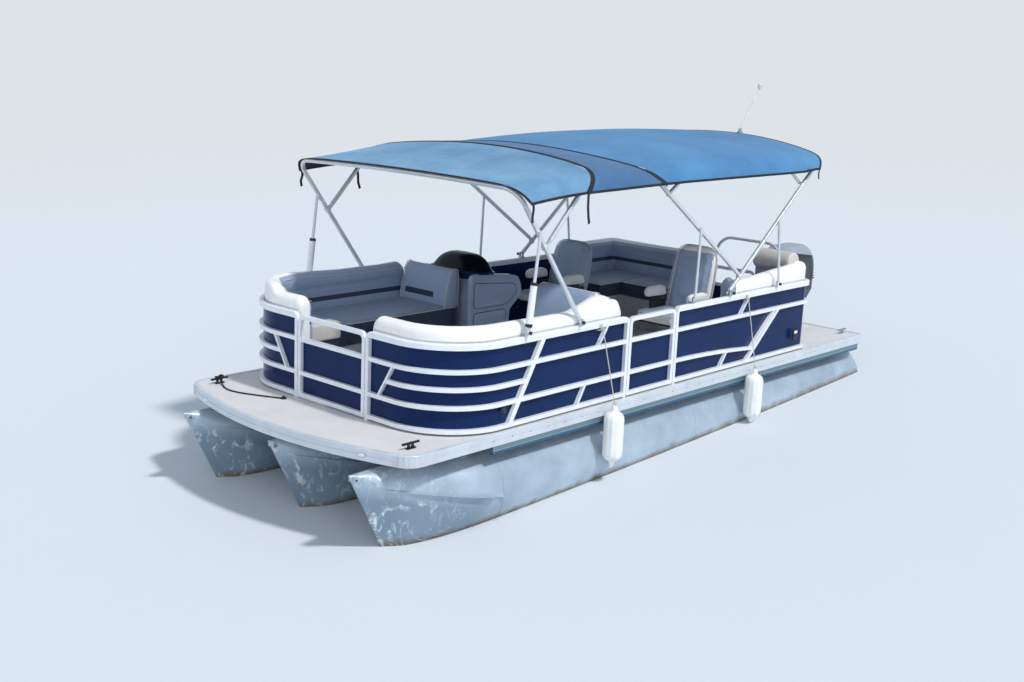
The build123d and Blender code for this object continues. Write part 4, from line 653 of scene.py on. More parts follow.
# The port one swells into a tall hump and a lower one behind it, where the end rest meets it
hump_x = [0.70, 0.735, 0.80, 0.86, 0.93, 1.02, 1.15, 1.33]
hump_z = [0.0, 0.040, 0.026, 0.070, 0.092, 0.085, 0.042, 0.0]
couch_back("back_bow_port", 0.41, run_at(x=0.700), 1,
           lift=lambda run: float(np.interp(run_at(x=0) - run, hump_x, hump_z)))


def eased(run, start, length):
    """Share of a length passed since its start, from 0 to 1."""
    return min(1.0, max(0.0, (run - start) / length))


# The starboard one is higher from its corner aft, and steps down to a low roll beside the bow gate
couch_back("back_bow_starboard", 0.41, run_at(x=0.93), -1,
           lift=lambda run: 0.05 * eased(run, 0.72, 0.12) - 0.022 * eased(run, 1.55, 0.5))
# The port stern one rises towards its corner
couch_back("back_stern_port", run_at(x=-0.955), run_at(y=0.67), 1,
           lift=lambda run: 0.065 * eased(run, run_at(x=-1.05), 0.95))
couch_back("back_stern_starboard", run_at(x=-1.255), run_at(y=0.05), -1)


def slab_cover(outline, low, high, inset=0.008):
    """Closed cover over a plan outline, drawn in a little at its foot and its top."""
    outline = [Vector((*p, 0)) for p in outline]
    middle = sum(outline, Vector()) / len(outline)
    return solid([[(*(p + (middle - p).normalized() * pull).xy, z) for p in outline]
                  for z, pull in ((low, inset), (low + 0.012, 0), (high - 0.016, 0), (high, inset))])


def cushion(name, outline, high):
    """Box cushion with dark sides, a grey top with painted shade and piping round its top seam."""
    pad(name, slab_cover(outline, seat_low, high), 0.011, 0.016,
        lambda p: 1.0 if p.z < seat_low + 0.016 or abs(p.z - high + 0.012) < 0.008 else 0.0,
        lambda p: 2.0 if p.z < high - 0.014 else 1.2)
    tubes(name + "_piping", [[(*p, high - 0.011) for p in rounded_outline(outline, 0.03)]],
          0.004, piping, closed=True)


def rounded_outline(outline, radius, steps=5):
    """The outline with each corner turned in an arc-like curve."""
    points = []
    for before, corner, after in zip(outline[-1:] + outline[:-1], outline, outline[1:] + outline[:1]):
        c = Vector(corner)
        a, b = Vector(before) - c, Vector(after) - c
        cut = min(radius, a.length * 0.45, b.length * 0.45)
        p, q = c + a.normalized() * cut, c + b.normalized() * cut
        for t in (k / steps for k in range(steps + 1)):
            points.append(tuple((p * (1 - t) + c * t) * (1 - t) + (c * (1 - t) + q * t) * t))
    return points


def corner_arc(side, depth):
    """Nine points round the bow corner of the fence, at a depth inside it."""
    start, turn = fence_half - bow_radius, bow_radius * math.pi / 2
    return [fence_point(start + turn * k / 8, depth, side) for k in range(9)]


seat_low, seat_high, stern_high, seat_depth, seat_inner = 0.8835, 1.072, 1.03, 0.178, 0.478
outer = fence_half - seat_depth
for side, label, rear in ((1, "port", 0.712), (-1, "starboard", 0.872)):
    for part, x0, x1 in (("aft", rear, 1.62), ("mid", 1.625, 2.10),
                         ("fore", 2.105, fence_front - seat_depth)):
        outline = [(x0, side * seat_inner), (x1, side * seat_inner), (x1, side * outer), (x0, side * outer)]
        if part == "fore":
            outline[2:3] = corner_arc(side, seat_depth)
        cushion(f"seat_bow_{label}_{part}", outline if side > 0 else outline[::-1], seat_high)
for label, x1, y0, y1 in (("port", -1.46, 0.676, 1.072), ("starboard", -1.262, -1.072, -0.566),
                          ("middle", -1.592, -0.561, -0.056)):
    cushion(f"seat_stern_{label}", [(-2.09, y0), (x1, y0), (x1, y1), (-2.09, y1)], stern_high)


def rest_cover(profile, y0, y1):
    """Closed cover from a side profile in x and z, carried across from y0 to y1 with softened ends."""
    middle = Vector((sum(p[0] for p in profile), 0, sum(p[1] for p in profile))) / len(profile)
    rows = []
    lip = 0.014 if y1 > y0 else -0.014
    for y, pull in ((y0, 0.012), (y0 + lip, 0), (y1 - lip, 0), (y1, 0.012)):
        points = [Vector((x, 0, z)) for x, z in profile]
        points = [p + (middle - p).normalized() * pull for p in points]
        rows.append([(p.x, y, p.z) for p in points])
    return solid(rows)


# Low beige bolster at the fore end of the starboard bow seat, beside the gate
bolster = slab_cover([(2.20, -0.60), (2.20, -0.455), (2.50, -0.455), (2.50, -0.60)], 0.965, 1.105, 0.012)
pad("gate_bolster", bolster, 0.010, 0.012,
    lambda p: 1.0 if p.z < 0.985 or abs(p.z - 1.095) < 0.008 else 0.0, lambda p: 0.0, finish=aged_vinyl)

# End rests close the after end of each bow couch: an upright grey pad to starboard, and to port a raked one
# under a white roll with a second, lower one behind it
end_profiles = {
    "port": [(1.13, 1.055), (1.12, 1.15), (1.075, 1.28), (1.025, 1.38), (0.985, 1.428), (0.935, 1.444),
             (0.880, 1.432), (0.842, 1.400), (0.812, 1.378), (0.775, 1.388), (0.735, 1.378),
             (0.710, 1.335), (0.704, 1.26), (0.704, 1.055)],
    "starboard": [(1.024, 1.062), (1.026, 1.13), (0.998, 1.26), (0.975, 1.355), (0.948, 1.392),
                  (0.908, 1.402), (0.878, 1.386), (0.866, 1.33), (0.866, 1.15), (0.866, 1.062)],
}
for side, label, near, far in ((1, "port", 0.56, 1.10), (-1, "starboard", 0.47, 1.045)):
    profile = end_profiles[label]

    def hold(p):
        at_end = min(abs(abs(p.y) - near), abs(abs(p.y) - far)) < 0.012
        return 1.0 if p.z < profile[0][1] + 0.03 or at_end else 0.0

    def shade(p):
        if side < 0:
            return 2.0 if abs(p.z - 1.165) < 0.022 and p.x > 0.99 and -0.98 < p.y < -0.62 else 1.0
        return 1.0 if p.x > 0.925 else 0.0

    pad(f"end_rest_{label}", rest_cover(profile, side * near, side * far), 0.012, 0.014, hold, shade)
    tubes(f"end_rest_{label}_piping", [[(x, side * y, z) for x, z in profile]
                                       for y in (near + 0.004, far - 0.004)], 0.004, piping)

# Stern bench: a round head bolster across its back
bolster_round = [(-2.12 + 0.105 * math.cos(a), 1.402 + 0.098 * math.sin(a))
                 for a in np.linspace(0, 2 * math.pi, 17)[:-1]]
pad("head_bolster", rest_cover(bolster_round, 0.69, 1.10), 0.01, 0.012,
    lambda p: 1.0 if abs(p.y - 0.69) < 0.01 or abs(p.y - 1.10) < 0.01 else 0.0, lambda p: 0.0,
    finish=aged_vinyl)

# Its fore end is closed by a grey arched pad with piping round it
arch_y, arch_half, foot_z = 1.134, 0.074, 0.978
arch = [(1.060 + arch_half + arch_half * math.cos(a), 1.262 + 0.112 * math.sin(a))
        for a in np.linspace(0, math.pi, 13)]
rows = []
for x, pull in ((-0.962, 0.004), (-0.955, 0.0), (-0.925, 0.0), (-0.915, 0.012)):
    row = [(x, arch_y + (y - arch_y) * (1 - pull / arch_half), z - pull) for y, z in arch]
    rows.append([(x, row[0][1], foot_z), *row, (x, row[-1][1], foot_z)])
pad("bench_end_pad", solid(rows), 0.009, 0.012, lambda p: 1.0 if p.x < -0.95 or p.z < 0.99 else 0.0,
    lambda p: 1.0)
tubes("bench_end_piping", [[(-0.94, arch_y + (y - arch_y) * 1.05, z + 0.004) for y, z in arch]], 0.0045,
      piping)

for label in ("bow_port", "bow_starboard", "stern_port", "stern_starboard"):
    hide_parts(f"upholstery_{label}")


# Helm console
# Hand-laid fibreglass box with a gloss gelcoat, screwed to the deck: a raised panel and a locker door in
# its port side, and a black instrument hood with a glossy visor on top.
# The console is grey; its blue tint is painted light, the cast of the sky in the canopy's shade
gelcoat = mottled("polished_gelcoat", "95a6c2", "a5b4cd", (3.5, 3), 0.2,
                  ("ShaderNodeTexNoise", 70, 0.0005, 0.25), Coat_Weight=0.4)
coat(gelcoat, "helm_console")

visor, tree, place = finish_of("black_abs_painted_navy_reflection")
apart = add(tree, "ShaderNodeSeparateXYZ", {0: place})
# Up to the brim's edge the black hood is drawn navy: a painted reflection of the blue around it
rim = add(tree, "ShaderNodeMapRange", {0: apart.outputs[2], 1: 1.372, 2: 1.382})
grit = add(tree, "ShaderNodeTexNoise", {"Vector": place, "Scale": 900, "Detail": 2})
tint = add(tree, "ShaderNodeMix", {0: rim, 6: rgb("172750"), 7: rgb("0a0d15")}, data_type="RGBA")
relief = add(tree, "ShaderNodeBump", {"Height": grit, "Distance": 0.0003, "Strength": 0.3})
surface(tree, Base_Color=tint, Roughness=0.2, Normal=relief, Specular_IOR_Level=0.3)

black_plastic = mottled("grained_black_abs", "16181c", "2a2d33", (12, 5), 0.46,
                        ("ShaderNodeTexVoronoi", 500, 0.0004, 0.5))

polished, tree, place = finish_of("polished_stainless_steel")
swirl = add(tree, "ShaderNodeTexNoise", {"Vector": place, "Scale": 130, "Detail": 3})
rough = add(tree, "ShaderNodeMapRange", {0: swirl, 3: 0.1, 4: 0.24})
surface(tree, Base_Color=rgb("c4c8cd"), Metallic=1.0, Roughness=rough)


def soft_box(work, low, high, radius, turn=None):
    """Adds a box with rounded edges to a bmesh; turn is a matrix for it."""
    made = bmesh.ops.create_cube(work, size=1)
    low, high = Vector(low), Vector(high)
    bmesh.ops.scale(work, vec=high - low, verts=made["verts"])
    bmesh.ops.translate(work, vec=(low + high) / 2, verts=made["verts"])
    edges = list({e for v in made["verts"] for e in v.link_edges})
    done = bmesh.ops.bevel(work, geom=edges, offset=radius, segments=3, affect="EDGES", profile=0.5)
    if turn is not None:
        verts = list({v for f in done["faces"] for v in f.verts} | {v for v in made["verts"] if v.is_valid})
        bmesh.ops.transform(work, matrix=turn, verts=verts)


# Instrument hood: a low dome with a flat brim all round it, drawn out to port over the throttle
hood_x, hood_y = 0.668, -0.635
rows = []
for z, grow in ((1.3206, -0.03), (1.345, -0.02), (1.356, 0.022), (1.368, 0.024), (1.376, 0.006),
                (1.402, -0.008), (1.436, -0.026), (1.466, -0.050), (1.489, -0.078), (1.504, -0.108),
                (1.510, -0.135)):
    row = []
    for a in full_turn(56):
        ca, sa = math.cos(a), math.sin(a)
        reach_x = (0.150 if ca > 0 else 0.120) + grow * 0.72
        reach_y = (0.325 if sa > 0 else 0.300) + grow * 1.5
        x = hood_x + reach_x * math.copysign(abs(ca) ** 0.75, ca)
        y = hood_y + reach_y * math.copysign(abs(sa) ** 0.75, sa)
        row.append((x - 0.02 * (z - 1.32) / 0.15, y, z))
    rows.append(row)
hood = keep("instrument_hood", solid(rows, outward=False), visor, "hull")
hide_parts("dash_pod")


def frame_at(across, upward, outward, place):
    """Matrix that sets a part down at a place along three directions."""
    turn = Matrix((across, upward, outward)).transposed().to_4x4()
    turn.translation = place
    return turn


# Gauges and switches on the sloping dash
dash_normal = Vector((-0.573462, 0, 0.819232))
dash_across = Vector((0, 1, 0))
dash_fall = dash_across.cross(dash_normal)
work = bmesh.new()
for y, share, radius in ((-0.93, 0.22, 0.042), (-0.82, 0.17, 0.034), (-0.72, 0.17, 0.034),
                         (-0.61, 0.22, 0.042)):
    top, foot = Vector((0.56, y, 1.32)), Vector((0.26, y, 1.11))
    turn = frame_at(dash_fall, dash_across, dash_normal, top + (foot - top) * share + dash_normal * 0.004)
    bmesh.ops.create_cone(work, cap_ends=True, segments=28, radius1=radius, radius2=radius * 0.9,
                          depth=0.010, matrix=turn)
for k in range(6):
    turn = frame_at(dash_fall, dash_across, dash_normal, Vector((0.385, -0.54 + 0.028 * k, 1.1975)))
    soft_box(work, (-0.017, -0.010, 0), (0.017, 0.010, 0.009), 0.003, turn)
keep("dash_gauges_and_switches", work, black_plastic, "hull")

# Moulded cheek on the port side: its top stands over the dash, and its after edge is cut back at knee
# height
cheek = [(0.862, 0.575), (0.862, 1.315), (0.840, 1.352), (0.780, 1.366), (0.330, 1.318), (0.262, 1.300),
         (0.222, 1.262), (0.196, 1.165), (0.222, 1.110), (0.345, 1.010), (0.366, 0.960), (0.366, 0.575)]


def drawn_in(outline, middle, pull):
    """Points of an outline moved towards its middle."""
    return [Vector(p) + (middle - Vector(p)).normalized() * pull for p in outline]


rows = [[(q.x, y, q.y) for q in drawn_in(rounded_outline(cheek, 0.03, 3), Vector((0.58, 1.0)), pull)]
        for y, pull in ((-0.372, 0.010), (-0.364, 0.0), (-0.330, 0.0), (-0.320, 0.010))]
keep("console_cheek", solid(rows), gelcoat, "hull")
# A raised panel and a locker door, both with a dark joint line round them
for label, corners in (("panel", [(0.82, 1.285), (0.31, 1.238), (0.262, 1.165), (0.41, 1.06), (0.82, 1.06)]),
                       ("door", [(0.82, 1.015), (0.41, 1.015), (0.41, 0.70), (0.82, 0.70)])):
    middle = sum((Vector(c) for c in corners), Vector((0, 0))) / len(corners)
    rows = [[(q.x, y, q.y) for q in drawn_in(rounded_outline(corners, 0.04, 4), middle, pull)]
            for y, pull in ((-0.3210, 0.0), (-0.3155, 0.001), (-0.3135, 0.005))]
    keep(f"console_{label}", solid(rows), gelcoat, "hull")
    joint = [(q.x, -0.3202, q.y) for q in drawn_in(rounded_outline(corners, 0.042, 4), middle, -0.004)]
    tubes(f"console_{label}_gasket", [joint], 0.0032, black_plastic, 6, closed=True)
work = bmesh.new()
soft_box(work, (0.775, -0.3140, 0.835), (0.800, -0.3070, 0.885), 0.003)
keep("console_latch", work, black_plastic, "hull")

# Steering wheel: hub, spokes and rim in one black foam skin
wheel_finish = mottled("moulded_foam_rim", "131418", "23252b", (20, 3), 0.5,
                       ("ShaderNodeTexVoronoi", 700, 0.0004, 0.6))
coat(wheel_finish, "steering_wheel")


# Chairs
# High-backed bucket chairs on steel pedestals: a moulded shell with a foam seat, a raked back with side
# bolsters and a middle panel, piping in the seams, and arm rests on black brackets that swing with the
# seat.
def chair(name, x, y, outer_shade, tall):
    """Chair with its swivel at x and y; outer_shade colours the back's shell, tall scales its height."""
    def at(px, py, pz):
        return Vector((x + px, y + py, pz))

    seat = [(x + px, y + py) for px, py in
            rounded_outline([(-0.175, -0.238), (0.262, -0.238), (0.262, 0.238), (-0.175, 0.238)], 0.07, 3)]
    pad(f"{name}_seat_pad", slab_cover(seat, 0.905, 0.985, 0.014), 0.010, 0.016,
        lambda p: 1.0 if p.z < 0.925 or abs(p.z - 0.978) < 0.008 else 0.0,
        lambda p: 1.0 if p.z > 0.972 else 0.0, name)
    # The back is built upright and then raked by 12 degrees about its foot
    rake = Matrix.Translation(at(-0.235, 0, 0.94)) @ Matrix.Rotation(math.radians(-12), 4, "Y")
    lean = rake.inverted()

    def back_cover(rows, half_y, depth0, depth1, pull):
        """Closed pad: rows give height and the share of the half width there."""
        rings = []
        for z, share in rows:
            ring = []
            for a in full_turn(24):
                ca, sa = math.cos(a), math.sin(a)
                px = (depth0 + depth1) / 2 + (depth1 - depth0) / 2 * math.copysign(abs(ca) ** 0.5, ca)
                py = half_y * share * math.copysign(abs(sa) ** 0.5, sa)
                ring.append(rake @ Vector((px - pull * (py / half_y) ** 2, py, z * tall)))
            rings.append(ring)
        return solid(rings)

    def both_sides(rows, px, half):
        """Line up one side of the back and down the other, through rows of height and share."""
        up_side = [rake @ Vector((px, half * share, z * tall)) for z, share in rows]
        return up_side + [rake @ Vector((px, -half * share, z * tall)) for z, share in rows[::-1]]

    def shell_shade(p):
        p = lean @ p
        return outer_shade if p.x < 0.018 or p.z > 0.56 * tall or abs(p.y) > 0.195 else 1.0

    shell_rows = [(0.01, 0.82), (0.04, 0.93), (0.12, 1.0), (0.28, 1.0), (0.42, 0.98), (0.52, 0.93),
                  (0.575, 0.82), (0.605, 0.62), (0.615, 0.4)]
    back = pad(f"{name}_back_pad", back_cover(shell_rows, 0.238, -0.052, 0.052, -0.012), 0.010, 0.012,
               lambda p: 1.0 if abs((lean @ p).x) < 0.012 and abs((lean @ p).y) > 0.2 else 0.0, shell_shade,
               name)
    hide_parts(name)
    panel_rows = [(0.10, 0.80), (0.13, 0.95), (0.22, 1.0), (0.38, 1.0), (0.47, 0.94), (0.51, 0.76)]
    pad(f"{name}_back_panel", back_cover(panel_rows, 0.150, 0.030, 0.066, 0.0), 0.009, 0.008,
        lambda p: 1.0 if (lean @ p).x < 0.052 else 0.0, lambda p: 1.0, name)
    # Piping follows the middle of the back's edge, the seam round the panel and the seat's top seam
    work = bmesh.new()
    tube_mesh(work, both_sides(shell_rows[1:], 0.0185, 0.243), 0.0045, 8)
    tube_mesh(work, both_sides(panel_rows, 0.0535, 0.153), 0.0035, 8, closed=True)
    seat_rim = rounded_outline([(x - 0.178, y - 0.241), (x + 0.265, y - 0.241), (x + 0.265, y + 0.241),
                                (x - 0.178, y + 0.241)], 0.085)
    tube_mesh(work, [(*p, 0.980) for p in seat_rim], 0.0045, 8, closed=True)
    keep(f"{name}_piping", work, piping, name)
    arm = [(x + px, pz) for px, pz in ((-0.19, 1.10), (-0.17, 1.165), (-0.12, 1.186), (0.06, 1.186),
                                       (0.105, 1.168), (0.118, 1.13), (0.10, 1.098), (-0.14, 1.088))]
    for side, label in ((1, "port"), (-1, "starboard")):
        middle = side * 0.236
        pad(f"{name}_arm_{label}", rest_cover(arm, y + middle - 0.030, y + middle + 0.030), 0.009,
            0.007, lambda p: 0.0, lambda p: 0.0, name)
        work = bmesh.new()
        soft_box(work, at(-0.12, middle - 0.014, 0.93), at(0.04, middle + 0.014, 1.105), 0.008)
        soft_box(work, at(-0.195, middle - 0.016, 0.955), at(-0.10, middle + 0.016, 1.06), 0.008)
        keep(f"{name}_arm_bracket_{label}", work, black_plastic, name)
    # Moulded seat pan, swivel plate and lever
    work = bmesh.new()
    soft_box(work, at(-0.205, -0.225, 0.884), at(0.235, 0.225, 0.912), 0.012)
    bmesh.ops.create_cone(work, cap_ends=True, segments=40, radius1=0.148, radius2=0.148, depth=0.015,
                          matrix=Matrix.Translation(at(0, 0, 0.8764)))
    keep(f"{name}_pan", work, black_plastic, name)
    tubes(f"{name}_lever", [[at(0.04, 0.14, 0.878), at(0.06, 0.24, 0.876), at(0.075, 0.262, 0.878)]],
          [0.006, 0.006, 0.009], polished, 10, body=name)


# The helm chair's shell is grey all over as painted shade of the canopy; the passenger chair's is white
chair("helm_chair", -0.69, -0.72, 1.0, 0.87)
chair("passenger_chair", -0.90, 0.58, 0.0, 1.04)
coat(polished, "chair_pedestals", "outboard_propeller")


# Frame of the folding tops
# Anodised square aluminium tube, mandrel bent, on cast mounts; silver with faint drawing lines along it.
anodised, tree, place = finish_of("clear_anodised_tube")
drawn = add(tree, "ShaderNodeTexNoise", {"Vector": place, "Scale": 160, "Detail": 2})
spots = add(tree, "ShaderNodeTexNoise", {"Vector": place, "Scale": 11, "Detail": 5})
tint = add(tree, "ShaderNodeValToRGB", {0: spots})
tint.color_ramp.elements[0].color, tint.color_ramp.elements[1].color = rgb("c9ced4"), rgb("e4e7ea")
rough = add(tree, "ShaderNodeMapRange", {0: drawn, 3: 0.3, 4: 0.42})
surface(tree, Base_Color=tint, Metallic=0.4, Roughness=rough)
coat(anodised, "fore_main_bow", "fore_second_bow", "aft_main_bow", "aft_second_bow", "aft_stub_fore",
     "aft_stub_aft", "top_braces", "fore_struts", "light_mast")
coat(polished, "top_mounts", "light_mast_base")


# Canvas of the tops
# Solution-dyed acrylic canvas in one faded blue, sewn from panels, with black binding along every hem. It
# is stretched over the bows, so it falls between them a little; the middle piece is zipped to both tops.
# Sunlight has bleached the fore top most. The yarns are 0.5 mm; the weave is drawn 4 mm wide so that it
# shows.
def canvas(name, worn, fresh, underside_shade):
    """Woven canvas, bleached in patches from fresh to worn; its inner face gets a dark colour as painted
    shade.
    """
    made, tree, place = finish_of(name)
    facing = add(tree, "ShaderNodeAttribute", attribute_name="inner")
    yarns = {"Vector": place, "Scale": 1 / (0.004 * 6.283)}
    warp = add(tree, "ShaderNodeTexWave", yarns, bands_direction="X")
    weft = add(tree, "ShaderNodeTexWave", yarns, bands_direction="Y")
    over = add(tree, "ShaderNodeMath", {0: warp.outputs["Fac"], 1: weft.outputs["Fac"]},
               operation="SUBTRACT")
    weave = add(tree, "ShaderNodeMath", {0: over}, operation="ABSOLUTE")
    pull = add(tree, "ShaderNodeMapping", {0: place, "Scale": (0.8, 2.6, 1), "Rotation": (0, 0, 0.35)})
    fold = add(tree, "ShaderNodeTexNoise", {"Vector": pull, "Scale": 2.4, "Detail": 3, "Distortion": 0.7})
    fade = add(tree, "ShaderNodeTexNoise", {"Vector": place, "Scale": 1.3, "Detail": 5, "Roughness": 0.6})
    patches = add(tree, "ShaderNodeMapRange", {0: fade, 1: 0.36, 2: 0.66})
    bleached = add(tree, "ShaderNodeMix", {0: patches, 6: rgb(fresh), 7: rgb(worn)}, data_type="RGBA")
    shade = add(tree, "ShaderNodeMapRange", {0: weave, 3: 0.94, 4: 1.03})
    cloth = add(tree, "ShaderNodeVectorMath", {0: bleached, 1: shade}, operation="MULTIPLY")
    sides = add(tree, "ShaderNodeMix", {0: facing.outputs["Fac"], 6: cloth, 7: rgb(underside_shade)},
                data_type="RGBA")
    height = add(tree, "ShaderNodeMath", {0: fold, 1: 70.0, 2: weave}, operation="MULTIPLY_ADD")
    relief = add(tree, "ShaderNodeBump", {"Height": height, "Distance": 0.0006, "Strength": 0.7})
    surface(tree, Base_Color=sides, Roughness=0.82, Normal=relief, Sheen_Weight=0.15)
    return made


# Each inner face is dark navy: painted shade under the tops
canvases = {"fore": canvas("bleached_acrylic_canvas", "7aa9c9", "5686ab", "16243c"),
            "connector": canvas("zipped_acrylic_canvas", "45729e", "38648f", "16243c"),
            "aft": canvas("faded_acrylic_canvas", "4887b6", "3873a4", "16243c")}


def ribbed(name, low, high, bands, ribs, height, **more):
    """Finish with fine ribs in two tones along one direction; ribs holds the wave's own inputs."""
    made, tree, place = finish_of(name)
    wave = add(tree, "ShaderNodeTexWave", {"Vector": place, **ribs}, bands_direction=bands).outputs["Fac"]
    tint = add(tree, "ShaderNodeMix", {0: wave, 6: rgb(low), 7: rgb(high)}, data_type="RGBA")
    relief = add(tree, "ShaderNodeBump", {"Height": wave, "Distance": height, "Strength": 0.6})
    surface(tree, Base_Color=tint, Normal=relief, **more)
    return made


binding_black = ribbed("black_binding_tape", "0d1018", "1d222e", "DIAGONAL", {"Scale": 60}, 0.0006,
                       Roughness=0.8)

# Shapes of the canvas: foot x, foot z and slope of the plane it lies in there, its shoulder, crown and hem
canvas_forms = {
    "fore_main": (1.270, 1.290, 0.75, 2.345, 2.366, 2.215),
    "fore_second": (1.716, 1.876, -0.96, 2.440, 2.525, 2.262),
    "connector_middle": (0.872, 0, 0, 2.430, 2.528, 2.272),
    "aft_second": (-0.966, 1.400, 1.48, 2.420, 2.525, 2.285),
    "aft_middle_fore": (0.142, 0, 0, 2.446, 2.562, 2.286),
    "aft_stub_fore": (0.180, 2.180, -1.6, 2.470, 2.590, 2.288),
    "aft_middle": (-0.870, 0, 0, 2.476, 2.598, 2.292),
    "aft_stub_aft": (-1.918, 2.183, 1.54, 2.480, 2.600, 2.296),
    "aft_middle_rear": (-1.872, 0, 0, 2.466, 2.588, 2.305),
    "aft_main": (-0.805, 1.290, -1.245, 2.450, 2.570, 2.315),
}
canvas_half, canvas_corner = 1.305, 0.15


def canvas_arch(name, shift=0.0):
    """Arch of the canvas over one bow as 73 points, hem to hem, with the corners of its shape eased."""
    foot_x, foot_z, slope, shoulder, crown, hem = canvas_forms[name]
    row = [(-canvas_half, hem + (shoulder - canvas_corner - hem) * k / 8) for k in range(8)]
    row += [(-canvas_half + canvas_corner * (1 - math.cos(a)), shoulder - canvas_corner * (1 - math.sin(a)))
            for a in (math.pi / 2 * k / 12 for k in range(13))]
    flat = canvas_half - canvas_corner
    row += [(-flat + flat * k / 24, shoulder + (crown - shoulder) * (1 - (1 - k / 24) ** 2))
            for k in range(1, 25)]
    row += [(-y, z) for y, z in row[-2::-1]]
    row = np.array(row)
    for _ in range(30):
        row[1:-1] = row[1:-1] * 0.5 + (row[:-2] + row[2:]) * 0.25
    steps = np.concatenate([[0], np.cumsum(np.linalg.norm(np.diff(row, axis=0), axis=1))])
    even = np.linspace(0, steps[-1], 73)
    y, z = np.interp(even, steps, row[:, 0]), np.interp(even, steps, row[:, 1])
    return np.stack([foot_x + (z - foot_z) * slope + shift, y, z - 0.0012], axis=1)


def through(rows, per_gap):
    """Curved rows between the given ones, as cloth stretched over bows."""
    rows = np.array(rows)
    padded_rows = np.concatenate([[2 * rows[0] - rows[1]], rows, [2 * rows[-1] - rows[-2]]])
    out = []
    for i in range(len(rows) - 1):
        a, b, c, d = padded_rows[i:i + 4]
        for k in range(per_gap):
            t = k / per_gap
            bend, twist = 2 * a - 5 * b + 4 * c - d, 3 * b - a - 3 * c + d
            out.append(0.5 * (2 * b + (c - a) * t + bend * t * t + twist * t ** 3))
    return np.array(out + [rows[-1]])


def hang(rows, sag, hem_sag):
    """Lets the cloth fall between two bows and its hems curve up between them."""
    for i, row in enumerate(rows):
        t = i / (len(rows) - 1)
        belly = 4 * t * (1 - t)
        share = np.abs(row[:, 1]) / canvas_half
        row[:, 2] -= sag * belly * np.clip(1 - share ** 6, 0, 1)
        low = np.clip((share - 0.96) / 0.04, 0, 1)
        row[:, 2] += hem_sag * belly * low
    return rows


def canvas_piece(label, rows, cloth):
    """Two faces of the cloth 2 mm apart, joined at the hems."""
    work = bmesh.new()
    inner = work.verts.layers.float.new("inner")
    count, across = rows.shape[:2]
    grid = [[work.verts.new(p) for p in row] for row in rows]
    for a, b in zip(grid, grid[1:]):
        for k in range(across - 1):
            work.faces.new((a[k], a[k + 1], b[k + 1], b[k]))
    work.normal_update()
    middle = grid[count // 2][across // 2]
    if middle.normal.z < 0:
        bmesh.ops.reverse_faces(work, faces=work.faces)
        work.normal_update()
    under = [[work.verts.new(v.co - v.normal * 0.002) for v in row] for row in grid]
    for a, b in zip(under, under[1:]):
        for k in range(across - 1):
            work.faces.new((a[k], a[k + 1], b[k + 1], b[k]))
    rim = grid[0] + [row[-1] for row in grid[1:]] + grid[-1][-2::-1] + [row[0] for row in grid[-2:0:-1]]
    match = {v: u for row, other in zip(grid, under) for v, u in zip(row, other)}
    for v, u in zip(rim, rim[1:] + rim[:1]):
        work.faces.new((v, u, match[u], match[v]))
    for row in under:
        for v in row:
            v[inner] = 1.0
    bmesh.ops.recalc_face_normals(work, faces=work.faces)
    return keep(f"canvas_{label}", work, cloth, "hull", angle=60)


def edge_band(work, line, width, inwards):
    """Tape folded over an edge: a flat strip on both sides of the cloth along a line of points."""
    over, under = 0.0022, -0.0032
    rings = []
    for i, p in enumerate(line):
        run = (Vector(line[min(i + 1, len(line) - 1)]) - Vector(line[max(i - 1, 0)])).normalized()
        side = Vector(inwards[i])
        side = (side - run * run.dot(side)).normalized()
        face = run.cross(side).normalized()
        rings.append([work.verts.new(Vector(p) + side * s + face * f)
                      for s, f in ((-0.002, over), (width, over), (width, under), (-0.002, under))])
    skin(work, rings)


fore_rows = hang(through([canvas_arch("fore_main"), canvas_arch("fore_second")], 18), 0.012, 0.006)
connector_rows = hang(through([canvas_arch("fore_second", shift=-0.0008), canvas_arch("connector_middle"),
                               canvas_arch("aft_second", shift=0.0008)], 8), 0.0, 0.0)
aft_rows = through([canvas_arch(name) for name in ("aft_second", "aft_middle_fore", "aft_stub_fore",
                                                   "aft_middle", "aft_stub_aft", "aft_middle_rear",
                                                   "aft_main")], 7)


for label, rows, bows in (("fore", fore_rows, ["fore_main_bow", "fore_second_bow"]),
                          ("connector", connector_rows, ["fore_second_bow", "aft_second_bow"]),
                          ("aft", aft_rows, ["aft_second_bow", "aft_stub_fore", "aft_stub_aft",
                                             "aft_main_bow"])):
    piece = canvas_piece(label, rows, canvases[label])
    work = bmesh.new()
    edge_band(work, rows[0], 0.020, rows[1] - rows[0])
    edge_band(work, rows[-1], 0.020, rows[-2] - rows[-1])
    edge_band(work, rows[:, 0], 0.018, rows[:, 1] - rows[:, 0])
    edge_band(work, rows[:, -1], 0.018, rows[:, -2] - rows[:, -1])
    bmesh.ops.recalc_face_normals(work, faces=work.faces)
    hem = keep(f"canvas_{label}_binding", work, binding_black, "hull", angle=30)
    for made in (piece, hem):
        if label == "fore":
            made.parent = None
            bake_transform(made)
        elif label == "aft":
            made.parent = None
            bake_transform(made)
        else:
            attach(made, "aft_second_bow")
            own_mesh(made)
    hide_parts(f"canopy_{label}")


